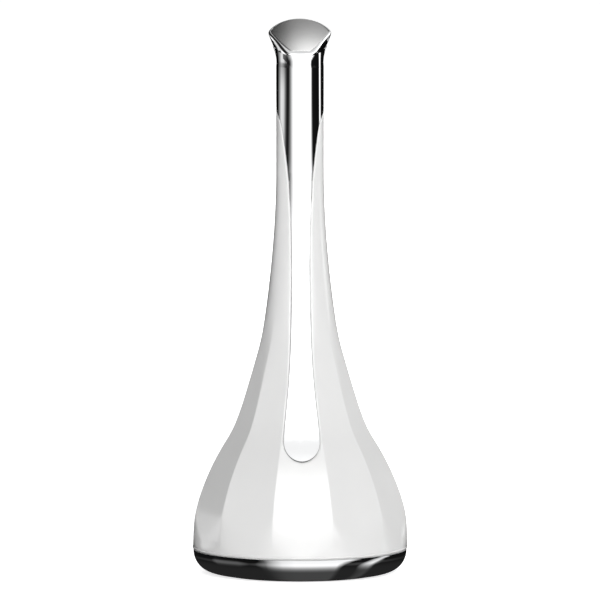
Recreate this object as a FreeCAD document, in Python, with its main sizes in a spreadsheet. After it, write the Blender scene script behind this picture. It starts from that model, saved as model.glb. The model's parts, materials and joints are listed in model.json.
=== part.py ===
"""Heated eye massager wand: a bell-shaped hand piece with a warm vibrating head.

Frame: the origin is the middle of the underside, +Z up, the press strip faces -Y.
All lengths are millimetres. Every driving size is a cell of the sheet "Sizes".
"""
import FreeCAD, Part
import math
import os
from types import SimpleNamespace
import Sketcher

Vector = FreeCAD.Vector
X_AXIS = Vector(1, 0, 0)
Y_AXIS = Vector(0, 1, 0)
Z_AXIS = Vector(0, 0, 1)

SIZES = {
    # a height with the ending _below or _above is counted from the middle of the massage face
    # outer profile of the bell: poles of one smooth curve from the base seam to the neck
    "seam_r": 26.4, "seam_z": 6.2,
    "skirt_swell": 1.4, "skirt_z": 15.9,
    "shoulder_r": 20.0, "shoulder_z": 32.3,
    "waist_r": 16.45, "waist_z": 35.2,
    "throat_r": 10.7, "throat_z": 55.4,
    "stem_r": 8.7, "stem_z": 60.8,
    "neck_r": 5.9, "neck_z_below": 46.55, "straight_z_below": 33.55,
    "shell_wall": 2.2, "collar_wall": 1.25, "collar_top_below": 5.95,
    # flat facets cut into the bell, as depths below the round profile at its poles
    "facet_count": 11, "facet_fade": 0.9, "facet_seam": 0.05, "facet_low": 1.65,
    "facet_shoulder": 0.85, "facet_waist": 0.75, "facet_throat": 0.55, "facet_stem": 0.15,
    # slot of the press strip, half widths at heights
    "slot_tip_r": 4.7, "slot_tip_z": 34.2, "slot_rise": 2.0,
    "slot_waist_w": 2.95, "slot_waist_z": 48.5, "slot_stem_w": 2.5, "slot_stem_z": 66.0,
    "slot_neck_w": 2.2, "slot_neck_z_below": 50.55, "slot_top_w": 3.05,
    "slot_top_z_below": 35.55,
    # rising edge of the collar, seen from the side: distance in front of the axis and height
    "lip_y0": 5.3, "lip_z0_below": 41.05, "lip_y1": 5.05, "lip_z1_below": 34.65,
    "lip_y2": 3.76, "lip_z2_below": 14.25, "lip_y3": 0.86, "lip_z3_below": 22.55,
    "lip_y4": 6.6, "lip_z4_below": 5.05,
    "lip_gap_y": 0.12, "lip_gap_z": 0.25,
    # press strip
    "strip_gap": 0.3, "strip_skin": 0.9, "flange_gap": 0.3, "flange_skin": 0.8,
    "flange_reach": 1.2, "flange_top": 70.0, "parting_gap": 0.1,
    "pin_z_below": 9.55, "pin_y": 2.5, "pin_r": 0.6, "pin_length": 7.5, "pin_play": 0.05,
    "hook_w": 2.0, "hook_wall": 0.8, "hook_mouth": 1.0,
    # neck tube
    "tube_r": 4.6, "tube_wall": 0.7, "tube_foot": 62.0, "window_w": 2.6, "window_h": 5.0,
    "pipe_top_below": 4.95,
    # plane between the neck and the head
    "joint_z_below": 2.95, "joint_tilt": 14.3, "joint_gap": 0.12,
    # head
    "face_z": 133.55, "face_tilt": 34.2, "head_w": 7.7, "head_tip_y": 1.1, "head_back_y": 5.75,
    "head_front_y": 5.1, "head_front_w": 3.6, "head_bulge": 0.4, "flare_foot_below": 7.55,
    "flare_z_below": 5.55, "middle_z_below": 2.15, "middle_w": 6.95, "tip_z_above": 0.15,
    "crown_z_above": 5.45, "spigot_r": 3.85, "spigot_z_below": 6.95, "spigot_bore": 2.9,
    "bore_top_below": 3.75,
    "plate_w": 6.95, "plate_tip_v": 1.15, "plate_back_v": 6.35, "plate_low_w": 3.75,
    "plate_low_v": 4.75, "plate_foot_v": 5.95, "plate_t": 1.2, "plate_gap": 0.05,
    "plate_dome": 0.55, "dome_r": 40.0,
    "cavity_r": 3.0, "cavity_v": 1.6, "cavity_depth": 3.6,
    "pad_t": 0.3, "heater_t": 1.0, "heater_r": 2.7, "sensor_r": 0.55, "sensor_l": 1.6,
    # vibration motor
    "motor_r": 3.0, "motor_l": 12.0, "motor_z_below": 30.35, "shaft_r": 0.4, "shaft_up": 4.8,
    "shaft_in": 3.0, "shaft_play": 0.05, "weight_r": 2.6, "weight_t": 3.5, "weight_up": 0.8,
    "sleeve_floor": 0.3, "fit_gap": 0.05,
    # leads
    "lead_r": 0.25, "lead_x": 3.5, "lead_rise_x": 2.1, "lead_pitch": 0.8,
    "channel_x": 3.2, "channel_w": 2.4, "channel_in": 5.2, "notch_h": 4.4,
    # chassis with the battery tube
    "flange_z": 9.3, "flange_t": 1.9, "chassis_gap": 0.1, "cell_gap": 0.1, "cell_tube_wall": 0.9,
    "cell_tube_foot": 8.0, "cell_web_t": 1.9, "column_bore": 1.8, "cone_top": 60.0,
    "rib_t": 1.4, "rib_in": 10.9, "rib_h": 9.0,
    "land_w": 11.2, "land_y": 6.9, "land_foot": 13.6, "land_top": 42.4,
    "bayonet_wall": 1.7, "bayonet_foot": 3.6, "lug_z": 5.4, "lug_t": 1.2, "lug_reach": 1.5,
    "lug_angle": 10.0, "lug_play": 0.2, "lug_slack": 1.0, "twist": 40.0, "lug_count": 3,
    # fixing bosses of the shell
    "boss_in": 5.9, "boss_half": 2.6, "boss_h": 9.3, "boss_count": 3, "boss_hole": 0.9,
    "screw_head_r": 1.8, "screw_head_t": 1.2, "screw_r": 0.9, "screw_l": 8.0,
    # battery cell, size AAA
    "cell_r": 5.25, "cell_l": 44.0, "cell_z": 8.4, "nub_r": 1.9, "nub_h": 0.9,
    "contact_t": 0.4, "tail_w": 3.0, "tail_foot": 43.2,
    # circuit board and switch
    "board_t": 1.0, "board_w": 11.0, "board_foot": 14.0, "board_top": 42.0,
    "switch_z": 36.0, "switch_w": 4.5, "switch_h": 2.0, "plunger_r": 1.1, "plunger_h": 0.9,
    "plunger_in": 1.2, "plunger_play": 0.05, "press_play": 0.1,
    "pusher_w": 3.6, "pusher_land": 13.8, "board_screw_z": 17.0, "board_screw_x": 4.1,
    "board_screw_l": 3.0, "board_screw_r": 0.6, "board_head_r": 1.1, "board_head_t": 0.7,
    # parts soldered to the board: widths, heights and thicknesses, and middles on the board
    "coil_w": 4.0, "coil_t": 2.2, "coil_z": 23.5, "chip_w": 3.0, "chip_t": 0.9, "chip_x": 1.9,
    "chip_z": 29.5, "driver_w": 2.6, "driver_t": 1.1, "driver_x": 2.5, "capacitor_w": 1.2,
    "capacitor_h": 2.0, "capacitor_x": 1.2, "capacitor_z": 18.0,
    # chrome base cap
    "foot_drop": 0.3, "cap_wall": 1.5, "cap_round": 5.3, "gasket_t": 0.25, "gasket_gap": 0.05,
    "gasket_inset": 0.3, "gasket_w": 1.2, "foot_in": 7.9, "foot_w": 3.0, "foot_t": 0.8,
    "post_in": 12.4, "post_half": 2.2, "liner_z": 4.0, "liner_t": 1.0, "liner_ring_w": 1.8,
    "liner_gap": 0.3, "liner_top": 7.6, "well_r": 6.0, "well_foot": 2.0, "liner_screw_l": 3.2,
    "hat_brim_r": 9.5, "hat_t": 0.3, "coil_wire": 0.3, "coil_low_r": 4.2, "coil_high_r": 2.4,
    "coil_turns": 4, "coil_steps": 10, "leaf_w": 3.0, "leaf_t": 0.3, "leaf_top": 22.0,
    "leaf_foot_x": 9.0, "well_wall": 0.8,
}


class Size:
    """A number of the sheet, or one worked out from such numbers, with its formula."""

    def __init__(self, value, formula):
        self.value = value
        self.formula = formula

    def __add__(self, other):
        return Size(self.value + number(other), "(%s + %s)" % (self.formula, formula(other)))

    def __radd__(self, other):
        return self + other

    def __sub__(self, other):
        return Size(self.value - number(other), "(%s - %s)" % (self.formula, formula(other)))

    def __rsub__(self, other):
        return Size(number(other) - self.value, "(%s - %s)" % (formula(other), self.formula))

    def __mul__(self, other):
        return Size(self.value * number(other), "(%s * %s)" % (self.formula, formula(other)))

    def __rmul__(self, other):
        return self * other

    def __truediv__(self, other):
        return Size(self.value / number(other), "(%s / %s)" % (self.formula, formula(other)))

    def __neg__(self):
        return Size(-self.value, "(0 - %s)" % self.formula)


def number(size):
    """The plain number of a size."""
    return size.value if isinstance(size, Size) else float(size)


def formula(size):
    """The formula of a size, or the number itself."""
    return size.formula if isinstance(size, Size) else repr(float(size))


def point(x, y, z=0.0):
    """A vector from sizes."""
    return Vector(number(x), number(y), number(z))


doc = FreeCAD.newDocument("EyeMassagerWand")
sheet = doc.addObject("Spreadsheet::Sheet", "Sizes")
for row, (name, value) in enumerate(SIZES.items(), start=1):
    sheet.set("A%d" % row, name)
    sheet.set("B%d" % row, str(value))
    sheet.setAlias("B%d" % row, name)
doc.recompute()
s = SimpleNamespace(**{name: Size(float(value), "Sizes." + name) for name, value in SIZES.items()})
for name in SIZES:
    if name.endswith("_below"):
        setattr(s, name[:-len("_below")], s.face_z - getattr(s, name))
    elif name.endswith("_above"):
        setattr(s, name[:-len("_above")], s.face_z + getattr(s, name))
s.skirt_r = s.seam_r + s.skirt_swell
s.boss_r = s.seam_r - s.boss_in
s.rib_reach = s.seam_r - s.rib_in
s.foot_r = s.seam_r - s.foot_in
s.post_r = s.seam_r - s.post_in

NODES = []
BEND_SHARE = 0.45


def keep(piece, label):
    """Gives a finished sub-part its label and puts it on the list of nodes."""
    piece.Label = label
    NODES.append(piece)
    return piece


# ---------------------------------------------------------------- sketches and features

def new_body(name):
    return doc.addObject("PartDesign::Body", name)


def sketch_on(body, name, plane, lift=0.0, tilt=0.0):
    """A sketch on an origin plane of its body, lifted along the normal and tilted about X."""
    sketch = body.newObject("Sketcher::SketchObject", name)
    support = [item for item in body.Origin.OriginFeatures if item.Role == plane][0]
    sketch.AttachmentSupport = [(support, "")]
    sketch.MapMode = "FlatFace"
    turn = FreeCAD.Rotation(X_AXIS, number(tilt))
    sketch.AttachmentOffset = FreeCAD.Placement(Vector(0, 0, number(lift)), turn)
    if isinstance(lift, Size):
        sketch.setExpression("AttachmentOffset.Base.z", lift.formula)
    if isinstance(tilt, Size):
        sketch.setExpression("AttachmentOffset.Rotation.Angle", tilt.formula)
    return sketch


def bind(sketch, constraint, size):
    """Adds a constraint and ties its value to the sheet."""
    index = sketch.addConstraint(constraint)
    if isinstance(size, Size):
        sketch.setExpression("Constraints[%d]" % index, size.formula)


def pin_point(sketch, item, end, place):
    """Fixes one end of a sketch item at a place given by two sizes."""
    for kind, axis, size in (("DistanceX", -2, place[0]), ("DistanceY", -1, place[1])):
        value = number(size)
        if not isinstance(size, Size) and value == 0.0:
            sketch.addConstraint(Sketcher.Constraint("PointOnObject", item, end, axis))
        elif value < 0:
            bind(sketch, Sketcher.Constraint(kind, item, end, -1, 1, -value), -size)
        else:
            bind(sketch, Sketcher.Constraint(kind, -1, 1, item, end, value), size)


def add_line(sketch, start, end):
    return sketch.addGeometry(Part.LineSegment(point(*start), point(*end)), False)


def join(sketch, first, second, first_end=2, second_end=1):
    sketch.addConstraint(Sketcher.Constraint("Coincident", first, first_end, second, second_end))


def polygon(sketch, corners):
    """A closed outline of straight lines through the corners."""
    lines = [add_line(sketch, a, b) for a, b in zip(corners, corners[1:] + corners[:1])]
    for line, following in zip(lines, lines[1:] + lines[:1]):
        join(sketch, line, following)
    for line, corner in zip(lines, corners):
        pin_point(sketch, line, 1, corner)


def rectangle(sketch, x0, x1, y0, y1):
    polygon(sketch, [(x0, y0), (x1, y0), (x1, y1), (x0, y1)])


def circle(sketch, centre, radius):
    item = sketch.addGeometry(Part.Circle(point(*centre), Z_AXIS, number(radius)), False)
    pin_point(sketch, item, 3, centre)
    bind(sketch, Sketcher.Constraint("Radius", item, number(radius)), radius)


def arc_through(sketch, start, middle, end):
    """An arc from start to end that passes through a middle place."""
    arc = sketch.addGeometry(Part.Arc(point(*start), point(*middle), point(*end)), False)
    mark = sketch.addGeometry(Part.Point(point(*middle)), True)
    pin_point(sketch, mark, 1, middle)
    sketch.addConstraint(Sketcher.Constraint("PointOnObject", mark, 1, arc))
    return arc


def add_spline(sketch, poles):
    """A smooth cubic curve that starts at the first pole and ends at the last."""
    curve = Part.BSplineCurve()
    spans = len(poles) - 3
    counts = [4] + [1] * (spans - 1) + [4]
    curve.buildFromPolesMultsKnots([point(*p) for p in poles], counts, list(range(spans + 1)),
                                   False, 3)
    item = sketch.addGeometry(curve, False)
    for index, pole in enumerate(poles):
        handle = sketch.addGeometry(Part.Circle(point(*pole), Z_AXIS, 1.0), True)
        sketch.addConstraint(Sketcher.Constraint("Weight", handle, 1.0))
        sketch.addConstraint(Sketcher.Constraint(
            "InternalAlignment:Sketcher::BSplineControlPoint", handle, 3, item, index))
        pin_point(sketch, handle, 3, pole)
    return item


def chain(sketch, first, corners, last, first_end=2, last_end=1):
    """Straight lines from the end of one item through the corners to the start of another."""
    lines = [add_line(sketch, a, b) for a, b in zip(corners, corners[1:])]
    join(sketch, first, lines[0], first_end)
    for line, following in zip(lines, lines[1:]):
        join(sketch, line, following)
    for line, corner in zip(lines[1:], corners[1:-1]):
        pin_point(sketch, line, 1, corner)
    join(sketch, lines[-1], last, 2, last_end)


def curved_outline(sketch, poles, corners):
    """A closed outline: one smooth curve, then straight lines back to its start."""
    curve = add_spline(sketch, poles)
    chain(sketch, curve, [poles[-1]] + corners + [poles[0]], curve)


def pad(body, sketch, length, midplane=False, reverse=False):
    feature = body.newObject("PartDesign::Pad", sketch.Name + "_pad")
    feature.Profile = sketch
    feature.Length = number(length)
    if isinstance(length, Size):
        feature.setExpression("Length", length.formula)
    feature.Midplane = midplane
    feature.Reversed = reverse
    return feature


def pocket(body, sketch, length=None, midplane=False, reverse=False):
    """Cuts the sketch out of the body, right through where no length is given."""
    feature = body.newObject("PartDesign::Pocket", sketch.Name + "_pocket")
    feature.Profile = sketch
    feature.Midplane = midplane
    feature.Reversed = reverse
    if length is None:
        feature.Type = "ThroughAll"
    else:
        feature.Length = number(length)
        if isinstance(length, Size):
            feature.setExpression("Length", length.formula)
    return feature


def turned(body, sketch, kind="Revolution"):
    """Turns the sketch once round its upright axis, to add or (Groove) to remove."""
    feature = body.newObject("PartDesign::" + kind, sketch.Name + "_turn")
    feature.Profile = sketch
    feature.ReferenceAxis = (sketch, ["V_Axis"])
    feature.Angle = 360
    return feature


def polar(body, features, count):
    """Repeats features evenly round the Z axis."""
    pattern = body.newObject("PartDesign::PolarPattern", features[-1].Name + "_round")
    pattern.Originals = features
    axis = [item for item in body.Origin.OriginFeatures if item.Role == "Z_Axis"][0]
    pattern.Axis = (axis, [""])
    pattern.Angle = 360
    pattern.Occurrences = int(number(count))
    pattern.setExpression("Occurrences", count.formula)
    body.Tip = pattern
    return pattern


# ---------------------------------------------------------------- simple solids

def place(piece, x=0.0, y=0.0, z=0.0, turn=None):
    """Puts a simple solid at a place given by sizes."""
    piece.Placement = FreeCAD.Placement(point(x, y, z), turn or FreeCAD.Rotation())
    for axis, size in (("x", x), ("y", y), ("z", z)):
        if isinstance(size, Size):
            piece.setExpression("Placement.Base." + axis, size.formula)
    return piece


def set_sizes(piece, **sizes):
    for prop, size in sizes.items():
        setattr(piece, prop, number(size))
        if isinstance(size, Size):
            piece.setExpression(prop, size.formula)
    return piece


def cylinder(name, radius, height, x=0.0, y=0.0, z=0.0, turn=None):
    piece = doc.addObject("Part::Cylinder", name)
    set_sizes(piece, Radius=radius, Height=height)
    return place(piece, x, y, z, turn)


def block(name, x0, x1, y0, y1, z0, z1):
    """A box between two corners."""
    piece = doc.addObject("Part::Box", name)
    set_sizes(piece, Length=x1 - x0, Width=y1 - y0, Height=z1 - z0)
    return place(piece, x0, y0, z0)


def cut(base, tool, name):
    piece = doc.addObject("Part::Cut", name)
    piece.Base = base
    piece.Tool = tool
    return piece


def fuse(pieces, name):
    piece = doc.addObject("Part::MultiFuse", name)
    piece.Shapes = pieces
    return piece


def common(pieces, name):
    piece = doc.addObject("Part::MultiCommon", name)
    piece.Shapes = pieces
    return piece


def ring(name, outer, inner, height, z):
    return cut(cylinder(name + "_out", outer, height, z=z),
               cylinder(name + "_in", inner, height, z=z), name)


def sector(name, inner, outer, z0, z1, start, sweep):
    """A slice of a ring from one angle over a sweep, in degrees."""
    turn = FreeCAD.Rotation(Z_AXIS, number(start))
    slice_out = cylinder(name + "_out", outer, z1 - z0, z=z0, turn=turn)
    set_sizes(slice_out, Angle=sweep)
    core = cylinder(name + "_in", inner, z1 - z0, z=z0)
    return cut(slice_out, core, name)


def shape_of(name, shape):
    """A sub-part whose shape is worked out by Part's own functions."""
    piece = doc.addObject("Part::Feature", name)
    piece.Shape = shape
    return piece


# ---------------------------------------------------------------- shared outlines

POLE_HEIGHTS = [s.seam_z, s.skirt_z, s.shoulder_z, s.waist_z, s.throat_z, s.stem_z, s.neck_z,
                s.straight_z]
POLE_RADII = [s.seam_r, s.skirt_r, s.shoulder_r, s.waist_r, s.throat_r, s.stem_r, s.neck_r,
              s.neck_r]
BELL_SHARE = [1.0, 1.0, 1.0, 1.0, 1.0, 0.9, 0.1, 0.0]


def bell_poles(bell_depth=0.0, neck_depth=0.0):
    """Poles of the bell's profile, sunk by one depth in the bell and another in the neck."""
    depths = [neck_depth + (bell_depth - neck_depth) * share for share in BELL_SHARE]
    return [(r - depth, z) for r, depth, z in zip(POLE_RADII, depths, POLE_HEIGHTS)]


def facet_poles():
    """Poles of a facet's profile, seen from the side: it leaves the round form at both ends."""
    depths = [-s.facet_seam, s.facet_low, s.facet_shoulder, s.facet_waist, s.facet_throat,
              -s.facet_stem, -s.facet_fade, -s.facet_fade]
    return [(-(r - depth), z) for r, depth, z in zip(POLE_RADII, depths, POLE_HEIGHTS)]


def joint_height(y, drop=0.0):
    """Height of the plane between neck and head, at a distance behind the axis."""
    return s.joint_z + y * math.tan(math.radians(number(s.joint_tilt))) - drop


def face_height(y):
    """Height of the tilted plane of the massage face, at a distance behind the axis."""
    return s.face_z + y * math.tan(math.radians(number(s.face_tilt)))


def bell_radius(height):
    """Outer radius of the round profile at a height, read from its curve."""
    curve = Part.BSplineCurve()
    spans = len(POLE_RADII) - 3
    poles = [Vector(number(r), 0, number(z)) for r, z in bell_poles()]
    curve.buildFromPolesMultsKnots(poles, [4] + [1] * (spans - 1) + [4], list(range(spans + 1)),
                                   False, 3)
    level = Part.Line(Vector(0, 0, number(height)), Vector(1, 0, number(height)))
    meeting = curve.intersect(level)
    return meeting[0].X


RIB_HOLD = 0.78
OUTSIDE = s.skirt_r + 6.0
FAR_UP = s.crown_z + 6.0


def slot_outline(sketch, spread, top):
    """The strip's slot seen from the front, spread sideways, open out wide above the top."""
    tip_r = s.slot_tip_r + spread
    right = [(tip_r, s.slot_tip_z), (tip_r, s.slot_tip_z + s.slot_rise),
             (s.slot_waist_w + spread, s.slot_waist_z), (s.slot_stem_w + spread, s.slot_stem_z),
             (s.slot_neck_w + spread, s.slot_neck_z), (s.slot_top_w + spread, s.slot_top_z)]
    left = [(-x, z) for x, z in reversed(right)]
    rising = add_spline(sketch, right)
    falling = add_spline(sketch, left)
    chain(sketch, rising, [right[-1]] + top + [left[0]], falling)
    lowest = (0.0, s.slot_tip_z - tip_r)
    arc = arc_through(sketch, left[-1], lowest, right[0])
    join(sketch, falling, arc)
    join(sketch, arc, rising)


def lip_poles(shift_y=0.0, shift_z=0.0):
    """Poles of the collar's rising edge, seen from the side."""
    return [(-s.lip_y0 - shift_y, s.lip_z0 + shift_z), (-s.lip_y1 - shift_y, s.lip_z1 + shift_z),
            (-s.lip_y2 - shift_y, s.lip_z2 + shift_z), (-s.lip_y3 - shift_y, s.lip_z3 + shift_z),
            (s.lip_y4 - shift_y, s.lip_z4 + shift_z)]


# ---------------------------------------------------------------- white shell

def make_body_shell():
    """Eleven-sided bell that runs up into a lily-shaped collar round the neck."""
    body = new_body("body_shell")
    wall = sketch_on(body, "shell_wall_section", "XZ_Plane")
    inner = bell_poles(s.shell_wall, s.collar_wall)
    outer = bell_poles()
    up = add_spline(wall, outer)
    down = add_spline(wall, list(reversed(inner)))
    top = [outer[-1], (s.neck_r, s.collar_top), (s.neck_r - s.collar_wall, s.collar_top),
           inner[-1]]
    chain(wall, up, top, down)
    chain(wall, down, [inner[0], outer[0]], up)
    turned(body, wall)
    facet = sketch_on(body, "shell_facet", "YZ_Plane")
    curved_outline(facet, facet_poles(), [(-OUTSIDE, s.straight_z), (-OUTSIDE, s.seam_z)])
    facet_cut = pocket(body, facet, midplane=True)
    facet_cut.Type = "Length"
    facet_cut.Length = 2 * number(OUTSIDE)
    polar(body, [facet_cut], s.facet_count)
    add_bosses(body)
    lip = sketch_on(body, "shell_lip", "YZ_Plane")
    curved_outline(lip, lip_poles(), [(s.lip_y4, FAR_UP), (-OUTSIDE, FAR_UP),
                                      (-OUTSIDE, s.lip_z0)])
    lip_cut = pocket(body, lip, midplane=True)
    lip_cut.Type = "Length"
    lip_cut.Length = 2 * number(OUTSIDE)
    slot = sketch_on(body, "shell_slot", "XZ_Plane")
    slot_outline(slot, 0.0, [])
    pocket(body, slot, OUTSIDE, reverse=True)
    return keep(body, "body_shell")


def add_bosses(body):
    """Three fixing bosses inside the bell, each tied to the wall by a rib."""
    foot = s.flange_z + s.flange_t
    top = foot + s.boss_h
    round_boss = sketch_on(body, "boss_round", "XY_Plane", lift=foot)
    circle(round_boss, (0.0, s.boss_r), s.boss_half)
    boss = pad(body, round_boss, s.boss_h)
    web = sketch_on(body, "boss_web", "YZ_Plane")
    in_wall = number(s.shell_wall) * RIB_HOLD
    web_foot = bell_radius(foot) - in_wall
    web_top = bell_radius(top) - in_wall
    polygon(web, [(s.boss_r, foot), (web_foot, foot), (web_top, top), (s.boss_r, top)])
    rib = pad(body, web, s.rib_t, midplane=True)
    hole = sketch_on(body, "boss_hole", "XY_Plane", lift=foot)
    circle(hole, (0.0, s.boss_r), s.boss_hole)
    bore = pocket(body, hole, s.boss_h - 1.0, reverse=True)
    polar(body, [boss, rib, bore], s.boss_count)


# ---------------------------------------------------------------- press strip

def make_press_strip():
    """Front of the neck and the long tongue below it, in one plated piece."""
    body = new_body("strip_core")
    wide = sketch_on(body, "strip_flange", "XZ_Plane", lift=s.parting_gap)
    slot_outline(wide, s.flange_reach, [])
    pad(body, wide, OUTSIDE)
    trim = sketch_on(body, "strip_flange_top", "XZ_Plane", lift=s.parting_gap)
    rectangle(trim, -OUTSIDE, OUTSIDE, s.flange_top, FAR_UP)
    pocket(body, trim, OUTSIDE + 1.0, reverse=True)
    layer = sketch_on(body, "strip_flange_layer", "XZ_Plane")
    curved_outline(layer, bell_poles(s.shell_wall + s.flange_gap, s.collar_wall),
                   [(OUTSIDE * 2, s.straight_z), (OUTSIDE * 2, s.seam_z)])
    turned(body, layer, "Groove")
    tongue = sketch_on(body, "strip_tongue", "XZ_Plane", lift=s.parting_gap)
    wing = s.neck_r + 3.0
    slot_outline(tongue, -s.strip_gap, [(wing, s.slot_top_z), (wing, FAR_UP), (-wing, FAR_UP),
                                        (-wing, s.slot_top_z)])
    pad(body, tongue, OUTSIDE)
    skin = sketch_on(body, "strip_outside", "XZ_Plane")
    curved_outline(skin, bell_poles(), [(s.neck_r, s.flare_foot), (wing, s.flare_foot),
                                        (wing, FAR_UP + 1.0), (OUTSIDE * 2, FAR_UP + 1.0),
                                        (OUTSIDE * 2, s.seam_z)])
    turned(body, skin, "Groove")
    flat = sketch_on(body, "strip_facet", "YZ_Plane")
    curved_outline(flat, facet_poles(), [(-OUTSIDE * 2, s.straight_z), (-OUTSIDE * 2, s.seam_z)])
    flat_cut = pocket(body, flat, midplane=True)
    flat_cut.Type = "Length"
    flat_cut.Length = 2 * number(OUTSIDE)
    hollow = sketch_on(body, "strip_inside", "XZ_Plane")
    depth = s.shell_wall + s.flange_gap + s.flange_skin
    inside = bell_poles(depth, s.strip_skin)
    curved_outline(hollow, inside, [(s.neck_r - s.strip_skin, FAR_UP + 1.0), (0.0, FAR_UP + 1.0),
                                    (0.0, s.seam_z)])
    turned(body, hollow, "Groove")
    side = sketch_on(body, "strip_lip", "YZ_Plane")
    edge = lip_poles(s.lip_gap_y, s.lip_gap_z)
    curved_outline(side, edge, [(OUTSIDE, s.lip_z4 + s.lip_gap_z),
                                (OUTSIDE, s.lip_z0 + s.lip_gap_z)])
    side_cut = pocket(body, side, midplane=True)
    side_cut.Type = "Length"
    side_cut.Length = 2 * number(OUTSIDE)
    top = sketch_on(body, "strip_top", "YZ_Plane")
    reach = s.neck_r + 4.0
    drop = s.joint_gap
    polygon(top, [(-reach, joint_height(-reach, drop)), (reach, joint_height(reach, drop)),
                  (reach, FAR_UP + 2.0), (-reach, FAR_UP + 2.0)])
    top_cut = pocket(body, top, midplane=True)
    top_cut.Type = "Length"
    top_cut.Length = 2 * number(OUTSIDE)
    add_hook(body)
    seat = sketch_on(body, "strip_pusher_seat", "XZ_Plane", lift=0.0)
    half = s.pusher_w / 2
    rectangle(seat, -half, half, s.switch_z - half, s.switch_z + half)
    pocket(body, seat, s.pusher_land, reverse=True)
    return keep(common([body, neck_limit("strip_end")], "press_strip"), "press_strip")


def add_hook(body):
    """Snap hook behind the strip's top, open towards the back, that clips on the pivot pin."""
    radius = s.pin_r + s.pin_play
    height = radius + s.hook_wall
    lug = sketch_on(body, "hook_lug", "YZ_Plane")
    rectangle(lug, -s.neck_r + s.strip_skin / 2, -s.pin_y + radius + 0.1, s.pin_z - height,
              s.pin_z + height)
    pad(body, lug, s.hook_w, midplane=True)
    eye = sketch_on(body, "hook_eye", "YZ_Plane")
    circle(eye, (-s.pin_y, s.pin_z), radius)
    eye_cut = pocket(body, eye, s.hook_w + 1.0, midplane=True)
    eye_cut.Type = "Length"
    mouth = sketch_on(body, "hook_mouth", "YZ_Plane")
    half = s.hook_mouth / 2
    rectangle(mouth, -s.pin_y, -s.pin_y + radius + 1.0, s.pin_z - half, s.pin_z + half)
    mouth_cut = pocket(body, mouth, s.hook_w + 1.0, midplane=True)
    mouth_cut.Type = "Length"


def make_strip_pusher():
    """Rubber pad behind the strip that presses the switch."""
    gap_face = s.land_y + s.board_t + s.switch_h + s.plunger_h + s.press_play
    half = s.pusher_w / 2 - s.fit_gap
    return keep(block("strip_pusher", -half, half, -s.pusher_land, -gap_face,
                      s.switch_z - half, s.switch_z + half), "strip_pusher")


def make_pivot_pin():
    turn = FreeCAD.Rotation(Y_AXIS, 90)
    return keep(cylinder("strip_pin", s.pin_r, s.pin_length, x=-s.pin_length / 2, y=-s.pin_y,
                         z=s.pin_z, turn=turn), "strip_pin")


# ---------------------------------------------------------------- neck tube

def make_neck_tube():
    """Plated inner tube of the neck; its back stands out flush with the collar."""
    bore = s.tube_r - s.tube_wall
    top = FAR_UP
    back_foot = s.lip_z3 - 3.0
    body = new_body("neck_back")
    thick = sketch_on(body, "back_section", "XZ_Plane")
    wide = s.neck_r + 3.0
    polygon(thick, [(s.tube_r, back_foot), (s.neck_r, back_foot), (s.neck_r, s.flare_foot),
                    (wide, s.flare_foot), (wide, top), (s.tube_r, top)])
    turned(body, thick)
    front = sketch_on(body, "back_front_cut", "YZ_Plane")
    rectangle(front, -OUTSIDE, s.parting_gap, back_foot - 1.0, top + 1.0)
    front_cut = pocket(body, front, 2 * OUTSIDE, midplane=True)
    front_cut.Type = "Length"
    under = sketch_on(body, "back_lip_cut", "YZ_Plane")
    edge = lip_poles(0.0, s.lip_gap_z)
    curved_outline(under, edge, [(OUTSIDE, s.lip_z4 + s.lip_gap_z),
                                 (OUTSIDE, s.lip_z0 + s.lip_gap_z)])
    under_cut = pocket(body, under, 2 * OUTSIDE, midplane=True)
    under_cut.Type = "Length"
    pipe = cylinder("tube_pipe", s.tube_r, s.pipe_top - s.tube_foot, z=s.tube_foot)
    whole = fuse([pipe, body], "tube_whole")
    hollow = cut(whole, cylinder("tube_bore", bore, top - s.tube_foot, z=s.tube_foot), "tube_open")
    half_w = s.window_w / 2
    half_h = s.window_h / 2
    window = block("tube_window", -half_w, half_w, -s.neck_r, 0.0, s.pin_z - half_h,
                   s.pin_z + half_h)
    turn = FreeCAD.Rotation(Y_AXIS, 90)
    pin_hole = cylinder("tube_pin_hole", s.pin_r, 2 * s.neck_r, x=-s.neck_r, y=-s.pin_y,
                        z=s.pin_z, turn=turn)
    tilt = FreeCAD.Rotation(X_AXIS, number(s.joint_tilt))
    above = doc.addObject("Part::Box", "tube_top_cut")
    set_sizes(above, Length=4 * s.neck_r, Width=6 * s.neck_r, Height=FAR_UP)
    offset = tilt.multVec(Vector(-2 * number(s.neck_r), -3 * number(s.neck_r), 0))
    place(above, offset.x, offset.y, s.joint_z - s.joint_gap + offset.z, tilt)
    tools = fuse([window, pin_hole, above], "tube_cuts")
    trimmed = cut(hollow, tools, "tube_trimmed")
    return keep(common([trimmed, neck_limit("tube_end")], "neck_tube"), "neck_tube")


# ---------------------------------------------------------------- head

def split_circle(sketch, radius, corners):
    """A circle split into arcs at the directions of the corners."""
    r = number(radius)
    angles = [math.atan2(number(c[1]), number(c[0])) for c in corners]
    arcs = []
    for a, b in zip(angles, angles[1:] + angles[:1]):
        end = b if b > a else b + 2 * math.pi
        arcs.append(sketch.addGeometry(
            Part.ArcOfCircle(Part.Circle(Vector(0, 0, 0), Z_AXIS, r), a, end), False))
    for arc, following in zip(arcs, arcs[1:] + arcs[:1]):
        join(sketch, arc, following)
    for arc, angle in zip(arcs, angles):
        pin_point(sketch, arc, 1, (radius * math.cos(angle), radius * math.sin(angle)))
        bind(sketch, Sketcher.Constraint("Radius", arc, r), radius)


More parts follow.
